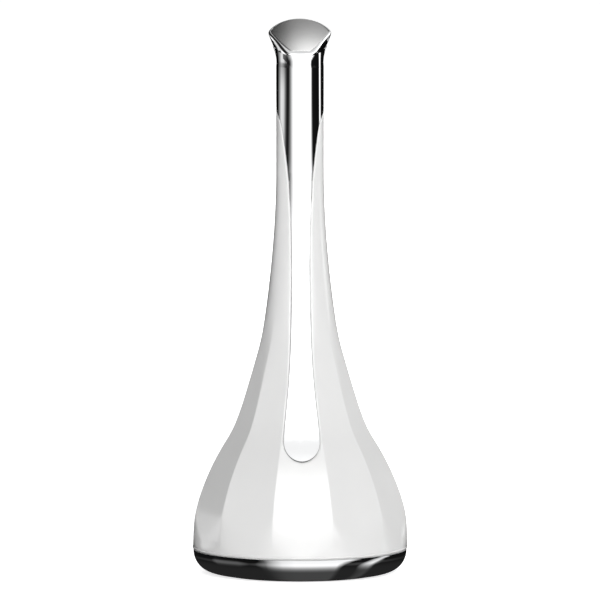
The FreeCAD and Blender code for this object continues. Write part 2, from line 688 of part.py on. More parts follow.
def almond(sketch, corners, back, bulge=None):
    """Outline with a round back between two tips and straight or slightly bulged front sides."""
    right, left, front_left, front_right = corners
    arc = arc_through(sketch, right, (0.0, back), left)
    pin_point(sketch, arc, 1, right)
    pin_point(sketch, arc, 2, left)
    if bulge is None:
        chain(sketch, arc, [left, front_left, front_right, right], arc)
        return
    previous = arc
    for start, end in ((left, front_left), (front_left, front_right), (front_right, right)):
        run_x = number(end[0]) - number(start[0])
        run_y = number(end[1]) - number(start[1])
        run = math.hypot(run_x, run_y)
        middle = ((start[0] + end[0]) / 2 + bulge * (run_y / run),
                  (start[1] + end[1]) / 2 - bulge * (run_x / run))
        side = arc_through(sketch, start, middle, end)
        join(sketch, previous, side)
        if end is right:
            join(sketch, side, arc)
        else:
            pin_point(sketch, side, 2, end)
        previous = side


def head_corners(tip_w):
    return [(tip_w, s.head_tip_y), (-tip_w, s.head_tip_y),
            (-s.head_front_w, -s.head_front_y), (s.head_front_w, -s.head_front_y)]


def flare_loft(body, prefix):
    """Form of the neck's top: round below, flaring into an almond with two side tips."""
    sections = []
    for height in (s.flare_foot, s.flare_z):
        section = sketch_on(body, prefix + "_round_%d" % len(sections), "XY_Plane", lift=height)
        split_circle(section, s.neck_r, head_corners(s.head_w))
        sections.append(section)
    for height, tip_w, back, bulge in ((s.middle_z, s.middle_w, s.neck_r, s.head_bulge),
                                       (s.tip_z, s.head_w, s.head_back_y, None),
                                       (s.crown_z, s.head_w, s.head_back_y, None)):
        section = sketch_on(body, prefix + "_almond_%d" % len(sections), "XY_Plane", lift=height)
        almond(section, head_corners(tip_w), back, bulge)
        sections.append(section)
    loft = body.newObject("PartDesign::AdditiveLoft", prefix + "_flare")
    loft.Profile = sections[0]
    loft.Sections = sections[1:]
    loft.Ruled = False
    return loft


def neck_limit(prefix):
    """Everything that may be solid up to the flare, and only the flared form above it."""
    form = new_body(prefix + "_form")
    flare_loft(form, prefix)
    below = cylinder(prefix + "_below", OUTSIDE, s.flare_foot)
    return fuse([below, form], prefix + "_limit")


def make_head_rim():
    """Chrome head: a round neck that flares into an almond with a tilted face."""
    body = new_body("head_rim")
    flare_loft(body, "head")
    reach = s.neck_r + 4.0
    low = sketch_on(body, "head_joint_cut", "YZ_Plane")
    polygon(low, [(-reach, s.spigot_z - 3.0), (reach, s.spigot_z - 3.0),
                  (reach, joint_height(reach)), (-reach, joint_height(-reach))])
    low_cut = pocket(body, low, 2 * OUTSIDE, midplane=True)
    low_cut.Type = "Length"
    plug = sketch_on(body, "head_spigot", "XY_Plane", lift=s.spigot_z)
    circle(plug, (0.0, 0.0), s.spigot_r)
    pad(body, plug, s.face_z - s.spigot_z)
    face = sketch_on(body, "head_face_cut", "YZ_Plane")
    polygon(face, [(-reach, face_height(-reach)), (reach, face_height(reach)),
                   (reach, FAR_UP + 4.0), (-reach, FAR_UP + 4.0)])
    face_cut = pocket(body, face, 2 * OUTSIDE, midplane=True)
    face_cut.Type = "Length"
    recess = sketch_on(body, "head_recess", "XY_Plane", lift=s.face_z, tilt=s.face_tilt)
    plate_outline(recess, 0.0)
    pocket(body, recess, s.plate_t)
    cavity = sketch_on(body, "head_cavity", "XY_Plane", lift=s.face_z, tilt=s.face_tilt)
    circle(cavity, (0.0, -s.cavity_v), s.cavity_r)
    pocket(body, cavity, s.cavity_depth)
    bore = sketch_on(body, "head_bore", "XY_Plane", lift=s.spigot_z)
    circle(bore, (0.0, 0.0), s.spigot_bore)
    pocket(body, bore, s.bore_top - s.spigot_z, reverse=True)
    return keep(body, "head_rim")


def plate_outline(sketch, inset):
    """Outline of the massage plate in the tilted plane of the face."""
    right = (s.plate_w - inset, s.plate_tip_v)
    left = (-(s.plate_w - inset), s.plate_tip_v)
    low_left = (-(s.plate_low_w - inset), -s.plate_low_v)
    low_right = (s.plate_low_w - inset, -s.plate_low_v)
    back = (0.0, s.plate_back_v - inset)
    foot = (0.0, -(s.plate_foot_v - inset))
    arcs = []
    for start, middle, end in ((right, back, left), (low_left, foot, low_right)):
        arc = arc_through(sketch, start, middle, end)
        pin_point(sketch, arc, 1, start)
        pin_point(sketch, arc, 2, end)
        arcs.append(arc)
    for first, second, a, b in ((arcs[0], arcs[1], left, low_left),
                                (arcs[1], arcs[0], low_right, right)):
        line = add_line(sketch, a, b)
        join(sketch, first, line)
        join(sketch, line, second)


def face_placement(depth):
    """Placement on the face's plane, a depth below it."""
    turn = FreeCAD.Rotation(X_AXIS, number(s.face_tilt))
    sink = turn.multVec(Vector(0, -number(s.cavity_v), -number(depth)))
    return turn, sink


def tilted_disc(name, radius, height, depth):
    """A disc under the massage plate; its lower side lies at the depth."""
    turn, sink = face_placement(depth)
    return cylinder(name, radius, height, x=sink.x, y=sink.y, z=s.face_z + sink.z, turn=turn)


def make_massage_plate():
    """Satin metal plate, slightly domed, that touches the skin."""
    body = new_body("plate_blank")
    blank = sketch_on(body, "plate_sketch", "XY_Plane", lift=s.face_z, tilt=s.face_tilt)
    plate_outline(blank, s.plate_gap)
    pad(body, blank, 2.0)
    down = sketch_on(body, "plate_sketch_down", "XY_Plane", lift=s.face_z, tilt=s.face_tilt)
    plate_outline(down, s.plate_gap)
    pad(body, down, s.plate_t, reverse=True)
    turn = FreeCAD.Rotation(X_AXIS, number(s.face_tilt))
    sink = turn.multVec(Vector(0, 0, number(s.plate_dome) - number(s.dome_r)))
    ball = doc.addObject("Part::Sphere", "plate_dome")
    set_sizes(ball, Radius=s.dome_r)
    place(ball, sink.x, sink.y, s.face_z + sink.z)
    return keep(common([body, ball], "massage_plate"), "massage_plate")


def make_heater():
    """Heating disc with its pad, sensor and support, stacked under the plate."""
    below_plate = s.plate_t
    pad_low = below_plate + s.pad_t
    heater_low = pad_low + s.heater_t
    keep(tilted_disc("thermal_pad", s.heater_r, s.pad_t, pad_low), "thermal_pad")
    keep(tilted_disc("heater_disc", s.heater_r, s.heater_t, heater_low), "heater_disc")
    turn, sink = face_placement(heater_low + s.sensor_r)
    across = turn.multiply(FreeCAD.Rotation(Y_AXIS, 90))
    keep(cylinder("thermistor", s.sensor_r, s.sensor_l, x=-s.sensor_l / 2, y=sink.y,
                  z=s.face_z + sink.z, turn=across), "thermistor")
    support = tilted_disc("support_disc", s.cavity_r - s.fit_gap, s.cavity_depth - heater_low,
                          s.cavity_depth)
    nest = cylinder("support_nest", s.sensor_r + s.fit_gap, s.sensor_l + 0.2,
                    x=-s.sensor_l / 2 - 0.1,
                    y=sink.y, z=s.face_z + sink.z, turn=across)
    half = s.lead_pitch / 2
    ways = [block("support_way_%d" % (side + 1), side * s.lead_rise_x - half,
                  side * s.lead_rise_x + half, -s.lead_pitch - half, half, s.spigot_z, s.face_z)
            for side in (-1, 1)]
    return keep(cut(support, fuse([nest] + ways, "support_cuts"), "heater_support"),
                "heater_support")


# ---------------------------------------------------------------- vibration motor

def channel(name, side, foot, top):
    """Space for the leads along one side of the neck."""
    reach = cell_tube_r() + 0.3
    low = s.channel_x if side > 0 else -reach
    high = reach if side > 0 else -s.channel_x
    half = s.channel_w / 2
    return block(name, low, high, -half, half, foot, top)


def make_motor():
    """Small motor in a soft sleeve, with an off-centre weight on its shaft."""
    top = s.motor_z + s.motor_l
    can = cylinder("can_body", s.motor_r, s.motor_l, z=s.motor_z)
    bearing = cylinder("can_bearing", s.shaft_r + s.shaft_play, s.shaft_in, z=top - s.shaft_in)
    keep(cut(can, bearing, "motor_can"), "motor_can")
    outer = s.tube_r - s.tube_wall - s.fit_gap
    foot = s.motor_z - s.sleeve_floor
    around = cylinder("sleeve_body", outer, s.motor_l + s.sleeve_floor - 1.0, z=foot)
    nest = cylinder("sleeve_nest", s.motor_r, s.motor_l, z=s.motor_z)
    vent = cylinder("sleeve_vent", s.motor_r - 1.0, s.sleeve_floor, z=foot)
    room = [channel("sleeve_channel_%d" % (side + 1), side, foot, top) for side in (-1, 1)]
    keep(cut(around, fuse([nest, vent] + room, "sleeve_cuts"), "motor_sleeve"), "motor_sleeve")
    keep(cylinder("motor_shaft", s.shaft_r, s.shaft_up + s.shaft_in, z=top - s.shaft_in),
         "motor_shaft")
    weight_z = top + s.weight_up
    half_disc = cylinder("weight_half", s.weight_r, s.weight_t, z=weight_z)
    set_sizes(half_disc, Angle=180.0)
    hub = cylinder("weight_hub", 2 * s.shaft_r + 0.3, s.weight_t, z=weight_z)
    hole = cylinder("weight_hole", s.shaft_r, s.weight_t, z=weight_z)
    keep(cut(fuse([half_disc, hub], "weight_whole"), hole, "eccentric_weight"), "eccentric_weight")


# ---------------------------------------------------------------- chassis

def cell_tube_r():
    return s.cell_r + s.cell_gap + s.cell_tube_wall


def contact_z():
    """Underside of the contact above the cell."""
    return s.cell_z + s.cell_l


def make_chassis():
    """Inner frame: battery tube, board land, column for the neck and bayonet skirt."""
    body = new_body("chassis_core")
    flange_top = s.flange_z + s.flange_t
    rim_r = s.seam_r - s.shell_wall - s.chassis_gap
    tube_r = cell_tube_r()
    web_top = contact_z() + s.contact_t + s.cell_web_t
    bore_r = s.tube_r - s.tube_wall - s.fit_gap
    column_top = s.motor_z - s.sleeve_floor
    core = sketch_on(body, "chassis_section", "XZ_Plane")
    polygon(core, [(0.0, s.cell_tube_foot), (tube_r, s.cell_tube_foot), (tube_r, s.flange_z),
                   (rim_r - s.bayonet_wall, s.flange_z), (rim_r - s.bayonet_wall, s.bayonet_foot),
                   (rim_r, s.bayonet_foot), (rim_r, flange_top), (tube_r, flange_top),
                   (tube_r, web_top), (s.tube_r, s.cone_top), (s.tube_r, s.tube_foot),
                   (bore_r, s.tube_foot), (bore_r, column_top), (0.0, column_top)])
    turned(body, core)
    land = sketch_on(body, "chassis_land", "XZ_Plane", lift=0.0)
    half_land = s.land_w / 2
    rectangle(land, -half_land, half_land, s.land_foot, s.land_top)
    pad(body, land, s.land_y)
    gusset = sketch_on(body, "chassis_gusset", "YZ_Plane")
    polygon(gusset, [(tube_r - 0.4, flange_top - 0.4), (s.rib_reach, flange_top - 0.4),
                     (tube_r - 0.4, flange_top + s.rib_h)])
    polar(body, [pad(body, gusset, s.rib_t, midplane=True)], s.boss_count)
    well = sketch_on(body, "chassis_cell_bore", "XY_Plane", lift=s.cell_tube_foot)
    circle(well, (0.0, 0.0), s.cell_r + s.cell_gap)
    pocket(body, well, contact_z() + s.contact_t - s.cell_tube_foot, reverse=True)
    core_bore = sketch_on(body, "chassis_column_bore", "XY_Plane", lift=web_top)
    circle(core_bore, (0.0, 0.0), s.column_bore)
    pocket(body, core_bore, column_top - web_top, reverse=True)
    holes = sketch_on(body, "chassis_screw_holes", "XY_Plane", lift=s.flange_z)
    circle(holes, (0.0, s.boss_r), s.screw_r + 0.2)
    polar(body, [pocket(body, holes, s.flange_t, reverse=True)], s.boss_count)
    return keep(cut(body, fuse(chassis_cuts(rim_r, column_top), "chassis_cuts"), "chassis"),
                "chassis")


def chassis_cuts(rim_r, column_top):
    """Lead channels, contact slots, board screw holes and the bayonet's hooked slots."""
    cuts = [channel("lead_channel_%d" % (side + 1), side, s.cone_top - s.channel_in, column_top)
            for side in (-1, 1)]
    half = s.channel_w / 2
    cuts.append(block("lead_notch", -s.tube_r, s.tube_r, -half, half, column_top - s.notch_h,
                      column_top))
    leaf_half = s.leaf_w / 2 + 0.2
    cuts.append(block("leaf_slot", cell_tube_r(), s.leaf_foot_x + 0.5, -leaf_half, leaf_half,
                      s.cell_tube_foot, s.flange_z + s.flange_t))
    tail_half = s.tail_w / 2 + 0.1
    cuts.append(block("tail_slot", -tail_half, tail_half, -cell_tube_r(), 0.0, contact_z(),
                      contact_z() + s.contact_t))
    turn = FreeCAD.Rotation(X_AXIS, 90)
    for index, side in enumerate((-1, 1)):
        cuts.append(cylinder("board_hole_%d" % index, s.board_screw_r, s.board_screw_l,
                             x=s.board_screw_x * side, y=-s.land_y + s.board_screw_l - s.board_t,
                             z=s.board_screw_z, turn=turn))
    low = s.lug_z - s.lug_play
    high = s.lug_z + s.lug_t + s.lug_play
    inner = rim_r - s.bayonet_wall - 0.2
    outer = rim_r + 0.2
    step = 360.0 / number(s.lug_count)
    for index in range(int(number(s.lug_count))):
        rest = step * index - number(s.lug_angle) / 2 - number(s.lug_slack)
        run = s.lug_angle + s.lug_slack * 2 + s.twist
        entry = s.lug_angle + s.lug_slack * 2
        cuts.append(sector("bayonet_run_%d" % index, inner, outer, low, high, rest, run))
        cuts.append(sector("bayonet_entry_%d" % index, inner, outer, s.bayonet_foot - 0.2, high,
                           rest + number(s.twist), entry))
    return cuts


def make_chassis_screws():
    """Three screws that hold the chassis up against the bosses of the shell."""
    screws = []
    for index in range(int(number(s.boss_count))):
        angle = math.radians(90 + 360.0 / number(s.boss_count) * index)
        x = s.boss_r * math.cos(angle)
        y = s.boss_r * math.sin(angle)
        head = cylinder("chassis_screw_head_%d" % index, s.screw_head_r, s.screw_head_t, x=x, y=y,
                        z=s.flange_z - s.screw_head_t)
        shank = cylinder("chassis_screw_shank_%d" % index, s.screw_r, s.screw_l, x=x, y=y,
                         z=s.flange_z - 0.2)
        screws.append(fuse([head, shank], "chassis_screw_%d" % index))
    return keep(compound(screws, "chassis_screws"), "chassis_screws")


def compound(pieces, name):
    """Several separate solids in one node."""
    piece = doc.addObject("Part::Compound", name)
    piece.Links = pieces
    return piece


# ---------------------------------------------------------------- battery and contacts

def make_battery():
    can = cylinder("cell_can", s.cell_r, s.cell_l - s.nub_h, z=s.cell_z)
    nub = cylinder("cell_nub", s.nub_r, s.nub_h, z=s.cell_z + s.cell_l - s.nub_h)
    return keep(fuse([can, nub], "battery_cell"), "battery_cell")


def make_positive_contact():
    """Spring plate above the cell, with a tail that comes down the front of the tube."""
    z = contact_z()
    half = s.tail_w / 2
    disc = cylinder("contact_disc", s.cell_r - 0.4, s.contact_t, z=z)
    back = cell_tube_r() + s.fit_gap
    arm = block("contact_arm", -half, half, -back - s.contact_t, 0.0, z, z + s.contact_t)
    tail = block("contact_tail", -half, half, -back - s.contact_t, -back, s.tail_foot,
                 z + s.contact_t)
    return keep(fuse([disc, arm, tail], "positive_contact"), "positive_contact")


def make_ground_leaf():
    """Bent leaf beside the battery tube that rubs on the brim of the base contact."""
    half = s.leaf_w / 2
    x0 = cell_tube_r() + s.fit_gap
    foot = s.liner_z + s.liner_t + s.hat_t + s.fit_gap
    upright = block("leaf_upright", x0, x0 + s.leaf_t, -half, half, foot, s.leaf_top)
    toe = block("leaf_toe", x0, s.leaf_foot_x, -half, half, foot, foot + s.leaf_t)
    return keep(fuse([upright, toe], "ground_leaf"), "ground_leaf")


def make_base_contact():
    """Stamped cup in the base: it holds the spring, and its brim meets the ground leaf."""
    body = new_body("base_contact")
    floor = s.well_foot + s.liner_t
    brim = s.liner_z + s.liner_t
    wall = s.well_r - s.well_wall
    cup = sketch_on(body, "contact_cup", "XZ_Plane")
    polygon(cup, [(0.0, floor), (wall, floor), (wall, brim), (s.hat_brim_r, brim),
                  (s.hat_brim_r, brim + s.hat_t), (wall - s.hat_t, brim + s.hat_t),
                  (wall - s.hat_t, floor + s.hat_t), (0.0, floor + s.hat_t)])
    turned(body, cup)
    return keep(body, "base_contact")


def make_battery_spring():
    """Conical coil under the cell."""
    foot = number(s.well_foot + s.liner_t + s.hat_t + s.coil_wire)
    rise = number(s.cell_z - s.coil_wire - s.fit_gap) - foot
    narrowing = number(s.coil_low_r - s.coil_high_r)
    steps = int(number(s.coil_turns * s.coil_steps))
    route = []
    for index in range(steps + 1):
        share = index / steps
        angle = 2 * math.pi * index / number(s.coil_steps)
        radius = number(s.coil_low_r) - narrowing * share
        route.append(Vector(radius * math.cos(angle), radius * math.sin(angle),
                            foot + rise * share))
    return keep(shape_of("battery_spring", round_wire(route, s.coil_wire)), "battery_spring")


# ---------------------------------------------------------------- board and switch

def make_board():
    half = s.board_w / 2
    face = s.land_y + s.board_t
    board = block("board_blank", -half, half, -face, -s.land_y, s.board_foot, s.board_top)
    turn = FreeCAD.Rotation(X_AXIS, 90)
    holes = [cylinder("board_screw_hole_%d" % index, s.board_screw_r, s.board_t,
                      x=s.board_screw_x * side, y=-s.land_y, z=s.board_screw_z, turn=turn)
             for index, side in enumerate((-1, 1))]
    return keep(cut(board, fuse(holes, "board_holes"), "circuit_board"), "circuit_board")


def make_board_screws():
    turn = FreeCAD.Rotation(X_AXIS, 90)
    face = s.land_y + s.board_t
    screws = []
    for index, side in enumerate((-1, 1)):
        x = s.board_screw_x * side
        head = cylinder("board_head_%d" % index, s.board_head_r, s.board_head_t, x=x, y=-face,
                        z=s.board_screw_z, turn=turn)
        shank = cylinder("board_shank_%d" % index, s.board_screw_r, s.board_screw_l, x=x,
                         y=-face + s.board_screw_l, z=s.board_screw_z, turn=turn)
        screws.append(fuse([head, shank], "board_screw_%d" % index))
    return keep(compound(screws, "board_screws"), "board_screws")


def make_board_parts():
    """Coil, controller, driver and two capacitors soldered to the board."""
    parts = [soldered("boost_coil", 0.0, s.coil_z, s.coil_w, s.coil_w, s.coil_t),
             soldered("control_chip", -s.chip_x, s.chip_z, s.chip_w, s.chip_w, s.chip_t),
             soldered("heater_driver", s.driver_x, s.chip_z, s.driver_w, s.driver_w, s.driver_t)]
    for index, side in enumerate((-1, 1)):
        parts.append(soldered("capacitor_%d" % index, side * s.capacitor_x, s.capacitor_z,
                              s.capacitor_w, s.capacitor_h, s.chip_t))
    return keep(compound(parts, "board_parts"), "board_parts")


def soldered(name, x, z, wide, high, thick):
    """A block on the face of the board, placed by its middle."""
    face = s.land_y + s.board_t
    return block(name, x - wide / 2, x + wide / 2, -face - thick, -face, z - high / 2,
                 z + high / 2)


def make_switch():
    """Push switch behind the strip, with its moving plunger."""
    face = s.land_y + s.board_t
    half = s.switch_w / 2
    base = block("switch_block", -half, half, -face - s.switch_h, -face, s.switch_z - half,
                 s.switch_z + half)
    turn = FreeCAD.Rotation(X_AXIS, 90)
    well = cylinder("switch_well", s.plunger_r + s.plunger_play, s.switch_h, y=-face - 0.2,
                    z=s.switch_z, turn=turn)
    keep(cut(base, well, "switch_base"), "switch_base")
    front = face + s.switch_h + s.plunger_h
    return keep(cylinder("switch_plunger", s.plunger_r, s.plunger_h + s.plunger_in,
                         y=-front + s.plunger_h + s.plunger_in, z=s.switch_z, turn=turn),
                "switch_plunger")


# ---------------------------------------------------------------- base

def make_base_cap():
    """Chrome bowl that closes the bell and covers the battery."""
    body = new_body("base_cap")
    foot = s.foot_drop
    top = s.seam_z - s.gasket_t - s.gasket_gap
    bowl = sketch_on(body, "cap_section", "XZ_Plane")
    bowl_section(bowl, foot, top)
    turned(body, bowl)
    post = sketch_on(body, "cap_post", "XY_Plane", lift=foot + s.cap_wall - 0.2)
    circle(post, (0.0, s.post_r), s.post_half)
    stud = pad(body, post, s.liner_z - foot - s.cap_wall + 0.2)
    hole = sketch_on(body, "cap_post_hole", "XY_Plane", lift=s.liner_z)
    circle(hole, (0.0, s.post_r), s.screw_r)
    bore = pocket(body, hole, s.liner_screw_l - s.liner_t)
    polar(body, [stud, bore], s.boss_count)
    groove = sketch_on(body, "cap_foot_groove", "XZ_Plane")
    half = s.foot_w / 2
    rectangle(groove, s.foot_r - half, s.foot_r + half, foot - 1.0, s.foot_t)
    turned(body, groove, "Groove")
    return keep(body, "base_cap")


def bowl_section(sketch, foot, top):
    """Wall section of the cap, with a round bottom edge outside and inside."""
    outer = s.seam_r
    inner = outer - s.cap_wall
    middle_r = outer - s.cap_round
    middle_z = foot + s.cap_round
    floor = foot + s.cap_wall
    diagonal = math.cos(math.pi / 4)
    outer_turn = s.cap_round * diagonal
    inner_turn = (s.cap_round - s.cap_wall) * diagonal
    big = arc_through(sketch, (middle_r, foot), (middle_r + outer_turn, middle_z - outer_turn),
                      (outer, middle_z))
    small = arc_through(sketch, (middle_r, floor), (middle_r + inner_turn, middle_z - inner_turn),
                        (inner, middle_z))
    pin_point(sketch, big, 2, (outer, middle_z))
    chain(sketch, big, [(outer, middle_z), (outer, top), (inner, top), (inner, middle_z)], small,
          last_end=2)
    pin_point(sketch, small, 1, (middle_r, floor))
    chain(sketch, small, [(middle_r, floor), (0.0, floor), (0.0, foot), (middle_r, foot)], big,
          first_end=1)


def make_base_liner():
    """Moulded ring screwed into the cap; its lugs lock in the skirt of the chassis."""
    body = new_body("liner_core")
    skirt_inner = s.seam_r - s.shell_wall - s.chassis_gap - s.bayonet_wall
    ring_r = skirt_inner - s.liner_gap
    plate_top = s.liner_z + s.liner_t
    well_r = s.well_r
    floor_top = s.well_foot + s.liner_t
    section = sketch_on(body, "liner_section", "XZ_Plane")
    polygon(section, [(0.0, s.well_foot), (well_r, s.well_foot), (well_r, s.liner_z),
                      (ring_r, s.liner_z), (ring_r, s.liner_top),
                      (ring_r - s.liner_ring_w, s.liner_top), (ring_r - s.liner_ring_w, plate_top),
                      (well_r - s.well_wall, plate_top), (well_r - s.well_wall, floor_top),
                      (0.0, floor_top)])
    turned(body, section)
    holes = sketch_on(body, "liner_holes", "XY_Plane", lift=s.liner_z)
    circle(holes, (0.0, s.post_r), s.screw_r + 0.1)
    polar(body, [pocket(body, holes, s.liner_t, reverse=True)], s.boss_count)
    step = 360.0 / number(s.lug_count)
    lugs = [sector("liner_lug_%d" % index, ring_r - 0.5, ring_r + s.lug_reach, s.lug_z,
                   s.lug_z + s.lug_t, step * index - number(s.lug_angle) / 2, s.lug_angle)
            for index in range(int(number(s.lug_count)))]
    return keep(fuse([body] + lugs, "base_liner"), "base_liner")


def make_liner_screws():
    screws = []
    plate_top = s.liner_z + s.liner_t
    for index in range(int(number(s.boss_count))):
        angle = math.radians(90 + 360.0 / number(s.boss_count) * index)
        x = s.post_r * math.cos(angle)
        y = s.post_r * math.sin(angle)
        head = cylinder("liner_head_%d" % index, s.screw_head_r, s.screw_head_t, x=x, y=y,
                        z=plate_top)
        shank = cylinder("liner_shank_%d" % index, s.screw_r, s.liner_screw_l, x=x, y=y,
                         z=plate_top - s.liner_screw_l)
        screws.append(fuse([head, shank], "liner_screw_%d" % index))
    return keep(compound(screws, "liner_screws"), "liner_screws")


def make_rings():
    """Gasket in the seam and rubber foot ring under the base."""
    outer = s.seam_r - s.gasket_inset
    keep(ring("seam_gasket", outer, outer - s.gasket_w, s.gasket_t, s.seam_z - s.gasket_t),
         "seam_gasket")
    half = s.foot_w / 2
    keep(ring("foot_ring", s.foot_r + half, s.foot_r - half, s.foot_t, 0.0), "foot_ring")


# ---------------------------------------------------------------- leads

def round_wire(route, radius):
    """A round wire of straight runs joined by arcs as large as the runs allow."""
    runs = [(b - a).Length for a, b in zip(route, route[1:])]
    edges = []
    last = route[0]
    for index in range(1, len(route) - 1):
        before = (route[index - 1] - route[index]).normalize()
        after = (route[index + 1] - route[index]).normalize()
        reach = BEND_SHARE * min(runs[index - 1], runs[index])
        start = route[index] + before * reach
        end = route[index] + after * reach
        half = before.getAngle(after) / 2
        bend = reach * math.tan(half)
        centre = route[index] + (before + after).normalize() * (bend / math.sin(half))
        middle = centre + (route[index] - centre).normalize() * bend
        edges.append(Part.LineSegment(last, start).toShape())
        edges.append(Part.Arc(start, middle, end).toShape())
        last = end
    edges.append(Part.LineSegment(last, route[-1]).toShape())
    rim = Part.Wire(Part.makeCircle(number(radius), route[0], route[1] - route[0]))
    return Part.Wire(edges).makePipeShell([rim], True, False)


def lead(route):
    return round_wire(route, s.lead_r)


def side_route(side, y, start):
    """From the neck down one side of the column, round the battery tube to the board."""
    x = s.lead_x * side
    face = s.land_y + s.board_t + s.lead_r
    across = cell_tube_r() + 0.7
    y_front = -(cell_tube_r() - 1.0) + y * 1.6
    return start + [point(x, y, s.cone_top - 0.9),
                    point(across * side, y, contact_z() + 3.2),
                    point((across - 0.3) * side, y_front, s.board_top + 5.0),
                    point((s.board_screw_x + y * 1.25) * side, -face - 0.5, s.board_top + 1.5),
                    point((s.board_screw_x + y * 1.25) * side, -face, s.board_top - 2.0)]


def make_leads():
    """Leads of the heater, sensor, motor and battery."""
    pairs = {"heater_leads": -1, "sensor_leads": 1}
    for name, side in pairs.items():
        wires = []
        for y in (-s.lead_pitch, s.lead_pitch * 0):
            x = s.lead_x * side
            inner = s.lead_rise_x * side
            underside = (s.plate_t + s.pad_t + s.heater_t) / math.cos(
                math.radians(number(s.face_tilt)))
            top = [point(inner, y, face_height(y) - underside - s.lead_r),
                   point(inner, y, s.spigot_z - 0.2), point(x, y, s.pin_z - 2.0)]
            wires.append(lead(side_route(side, y, top)))
        keep(shape_of(name, Part.makeCompound(wires)), name)
    motor_wires = []
    for side in (-1, 1):
        y = s.lead_pitch
        x = s.lead_x * side
        top = [point(side * 1.1, y, s.motor_z), point(side * 1.1, y, s.motor_z - 1.4),
               point(x, y, s.motor_z - 3.4)]
        motor_wires.append(lead(side_route(side, y, top)))
    keep(shape_of("motor_leads", Part.makeCompound(motor_wires)), "motor_leads")
    face = s.land_y + s.board_t + s.lead_r
    tail_y = -(cell_tube_r() + s.fit_gap + s.contact_t + s.lead_r)
    red = lead([point(0, tail_y, s.tail_foot + 3.0), point(0, tail_y - 0.2, s.tail_foot + 0.6),
                point(0.2, -face - 0.3, s.board_top + 0.4), point(0.2, -face, s.board_top - 2.0)])
    leaf_x = cell_tube_r() + s.fit_gap + s.leaf_t + s.lead_r
    black = lead([point(leaf_x, -0.6, s.leaf_top - 0.5),
                  point(leaf_x + 0.2, -3.5, s.leaf_top - 1.0),
                  point(s.board_w / 2 + 1.5, -face - 0.3, s.leaf_top - 1.2),
                  point(s.board_w / 2 - 0.8, -face, s.leaf_top - 1.2)])
    keep(shape_of("battery_leads", Part.makeCompound([red, black])), "battery_leads")


# ---------------------------------------------------------------- build, check and write

make_body_shell()
make_neck_tube()
make_press_strip()
make_strip_pusher()
make_pivot_pin()
make_head_rim()
make_massage_plate()
make_heater()
make_motor()
make_chassis()
make_chassis_screws()
make_battery()
make_positive_contact()
make_ground_leaf()
make_base_contact()
make_battery_spring()
make_board()
make_board_screws()
make_board_parts()
make_switch()
make_base_cap()
make_base_liner()
make_liner_screws()
make_rings()
make_leads()
doc.recompute()

faults = [item.Name + " " + str(item.State) for item in doc.Objects
          if "Invalid" in item.State or "Error" in item.State]
for piece in NODES:
    shape = piece.Shape
    if shape.isNull() or not shape.isValid() or not shape.Solids:
        faults.append(piece.Label + " has no sound solid")
if faults:
    raise RuntimeError("; ".join(faults))

os.makedirs("parts", exist_ok=True)
for piece in NODES:
    piece.Shape.exportStep(os.path.join("parts", piece.Label + ".step"))
    box = piece.Shape.BoundBox
    print("%-18s solids %2d  volume %9.2f  z %7.2f to %7.2f" % (
        piece.Label, len(piece.Shape.Solids), piece.Shape.Volume, box.ZMin, box.ZMax))
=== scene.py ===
"""Dresses the eye massager wand: plated neck and base, gloss white bell, satin massage plate."""
import json
import math

import bmesh
import bpy
import numpy as np
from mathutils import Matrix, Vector


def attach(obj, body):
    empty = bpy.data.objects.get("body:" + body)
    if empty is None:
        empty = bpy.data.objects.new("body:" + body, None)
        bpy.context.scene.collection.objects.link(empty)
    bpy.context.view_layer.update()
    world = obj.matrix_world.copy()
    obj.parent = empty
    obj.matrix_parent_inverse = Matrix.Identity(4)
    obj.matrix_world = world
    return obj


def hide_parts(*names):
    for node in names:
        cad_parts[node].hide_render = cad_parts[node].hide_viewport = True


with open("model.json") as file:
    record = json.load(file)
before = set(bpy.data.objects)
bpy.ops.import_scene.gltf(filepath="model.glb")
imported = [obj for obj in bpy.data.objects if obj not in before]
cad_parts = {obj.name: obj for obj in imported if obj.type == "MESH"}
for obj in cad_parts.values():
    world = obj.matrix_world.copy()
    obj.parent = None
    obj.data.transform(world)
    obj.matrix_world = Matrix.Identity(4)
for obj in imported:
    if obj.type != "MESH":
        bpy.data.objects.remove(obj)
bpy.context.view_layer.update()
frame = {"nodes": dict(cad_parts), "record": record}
MM = 0.001

# ---------------------------------------------------------------- camera

VIEW_HEIGHT = 67.8 * MM
VIEW_WIDTH = 148.5 * MM
SENSOR = 36.0
CAMERA_DISTANCE = 5.0
CAMERA_RISE = math.radians(6.0)
CAMERA_TURN = math.radians(1.5)


def set_camera():
    """A long lens a little above the object, turned slightly to its left."""
    data = bpy.data.cameras.new("camera")
    data.sensor_width = SENSOR
    data.lens = SENSOR * CAMERA_DISTANCE / VIEW_WIDTH
    data.clip_end = 4 * CAMERA_DISTANCE
    camera = bpy.data.objects.new("camera", data)
    bpy.context.scene.collection.objects.link(camera)
    back = Vector((-math.sin(CAMERA_TURN) * math.cos(CAMERA_RISE),
                   -math.cos(CAMERA_TURN) * math.cos(CAMERA_RISE), math.sin(CAMERA_RISE)))
    camera.location = Vector((0, 0, VIEW_HEIGHT)) + back * CAMERA_DISTANCE
    camera.rotation_euler = back.to_track_quat("Z", "Y").to_euler()
    bpy.context.scene.camera = camera


# ---------------------------------------------------------------- node helpers

def new_material(name):
    material = bpy.data.materials.new(name)
    material.use_nodes = True
    tree = material.node_tree
    return material, tree, tree.nodes["Principled BSDF"]


def add(tree, kind, **settings):
    node = tree.nodes.new("ShaderNode" + kind)
    for name, value in settings.items():
        setattr(node, name, value)
    return node


def feed(tree, source, target):
    tree.links.new(source, target)


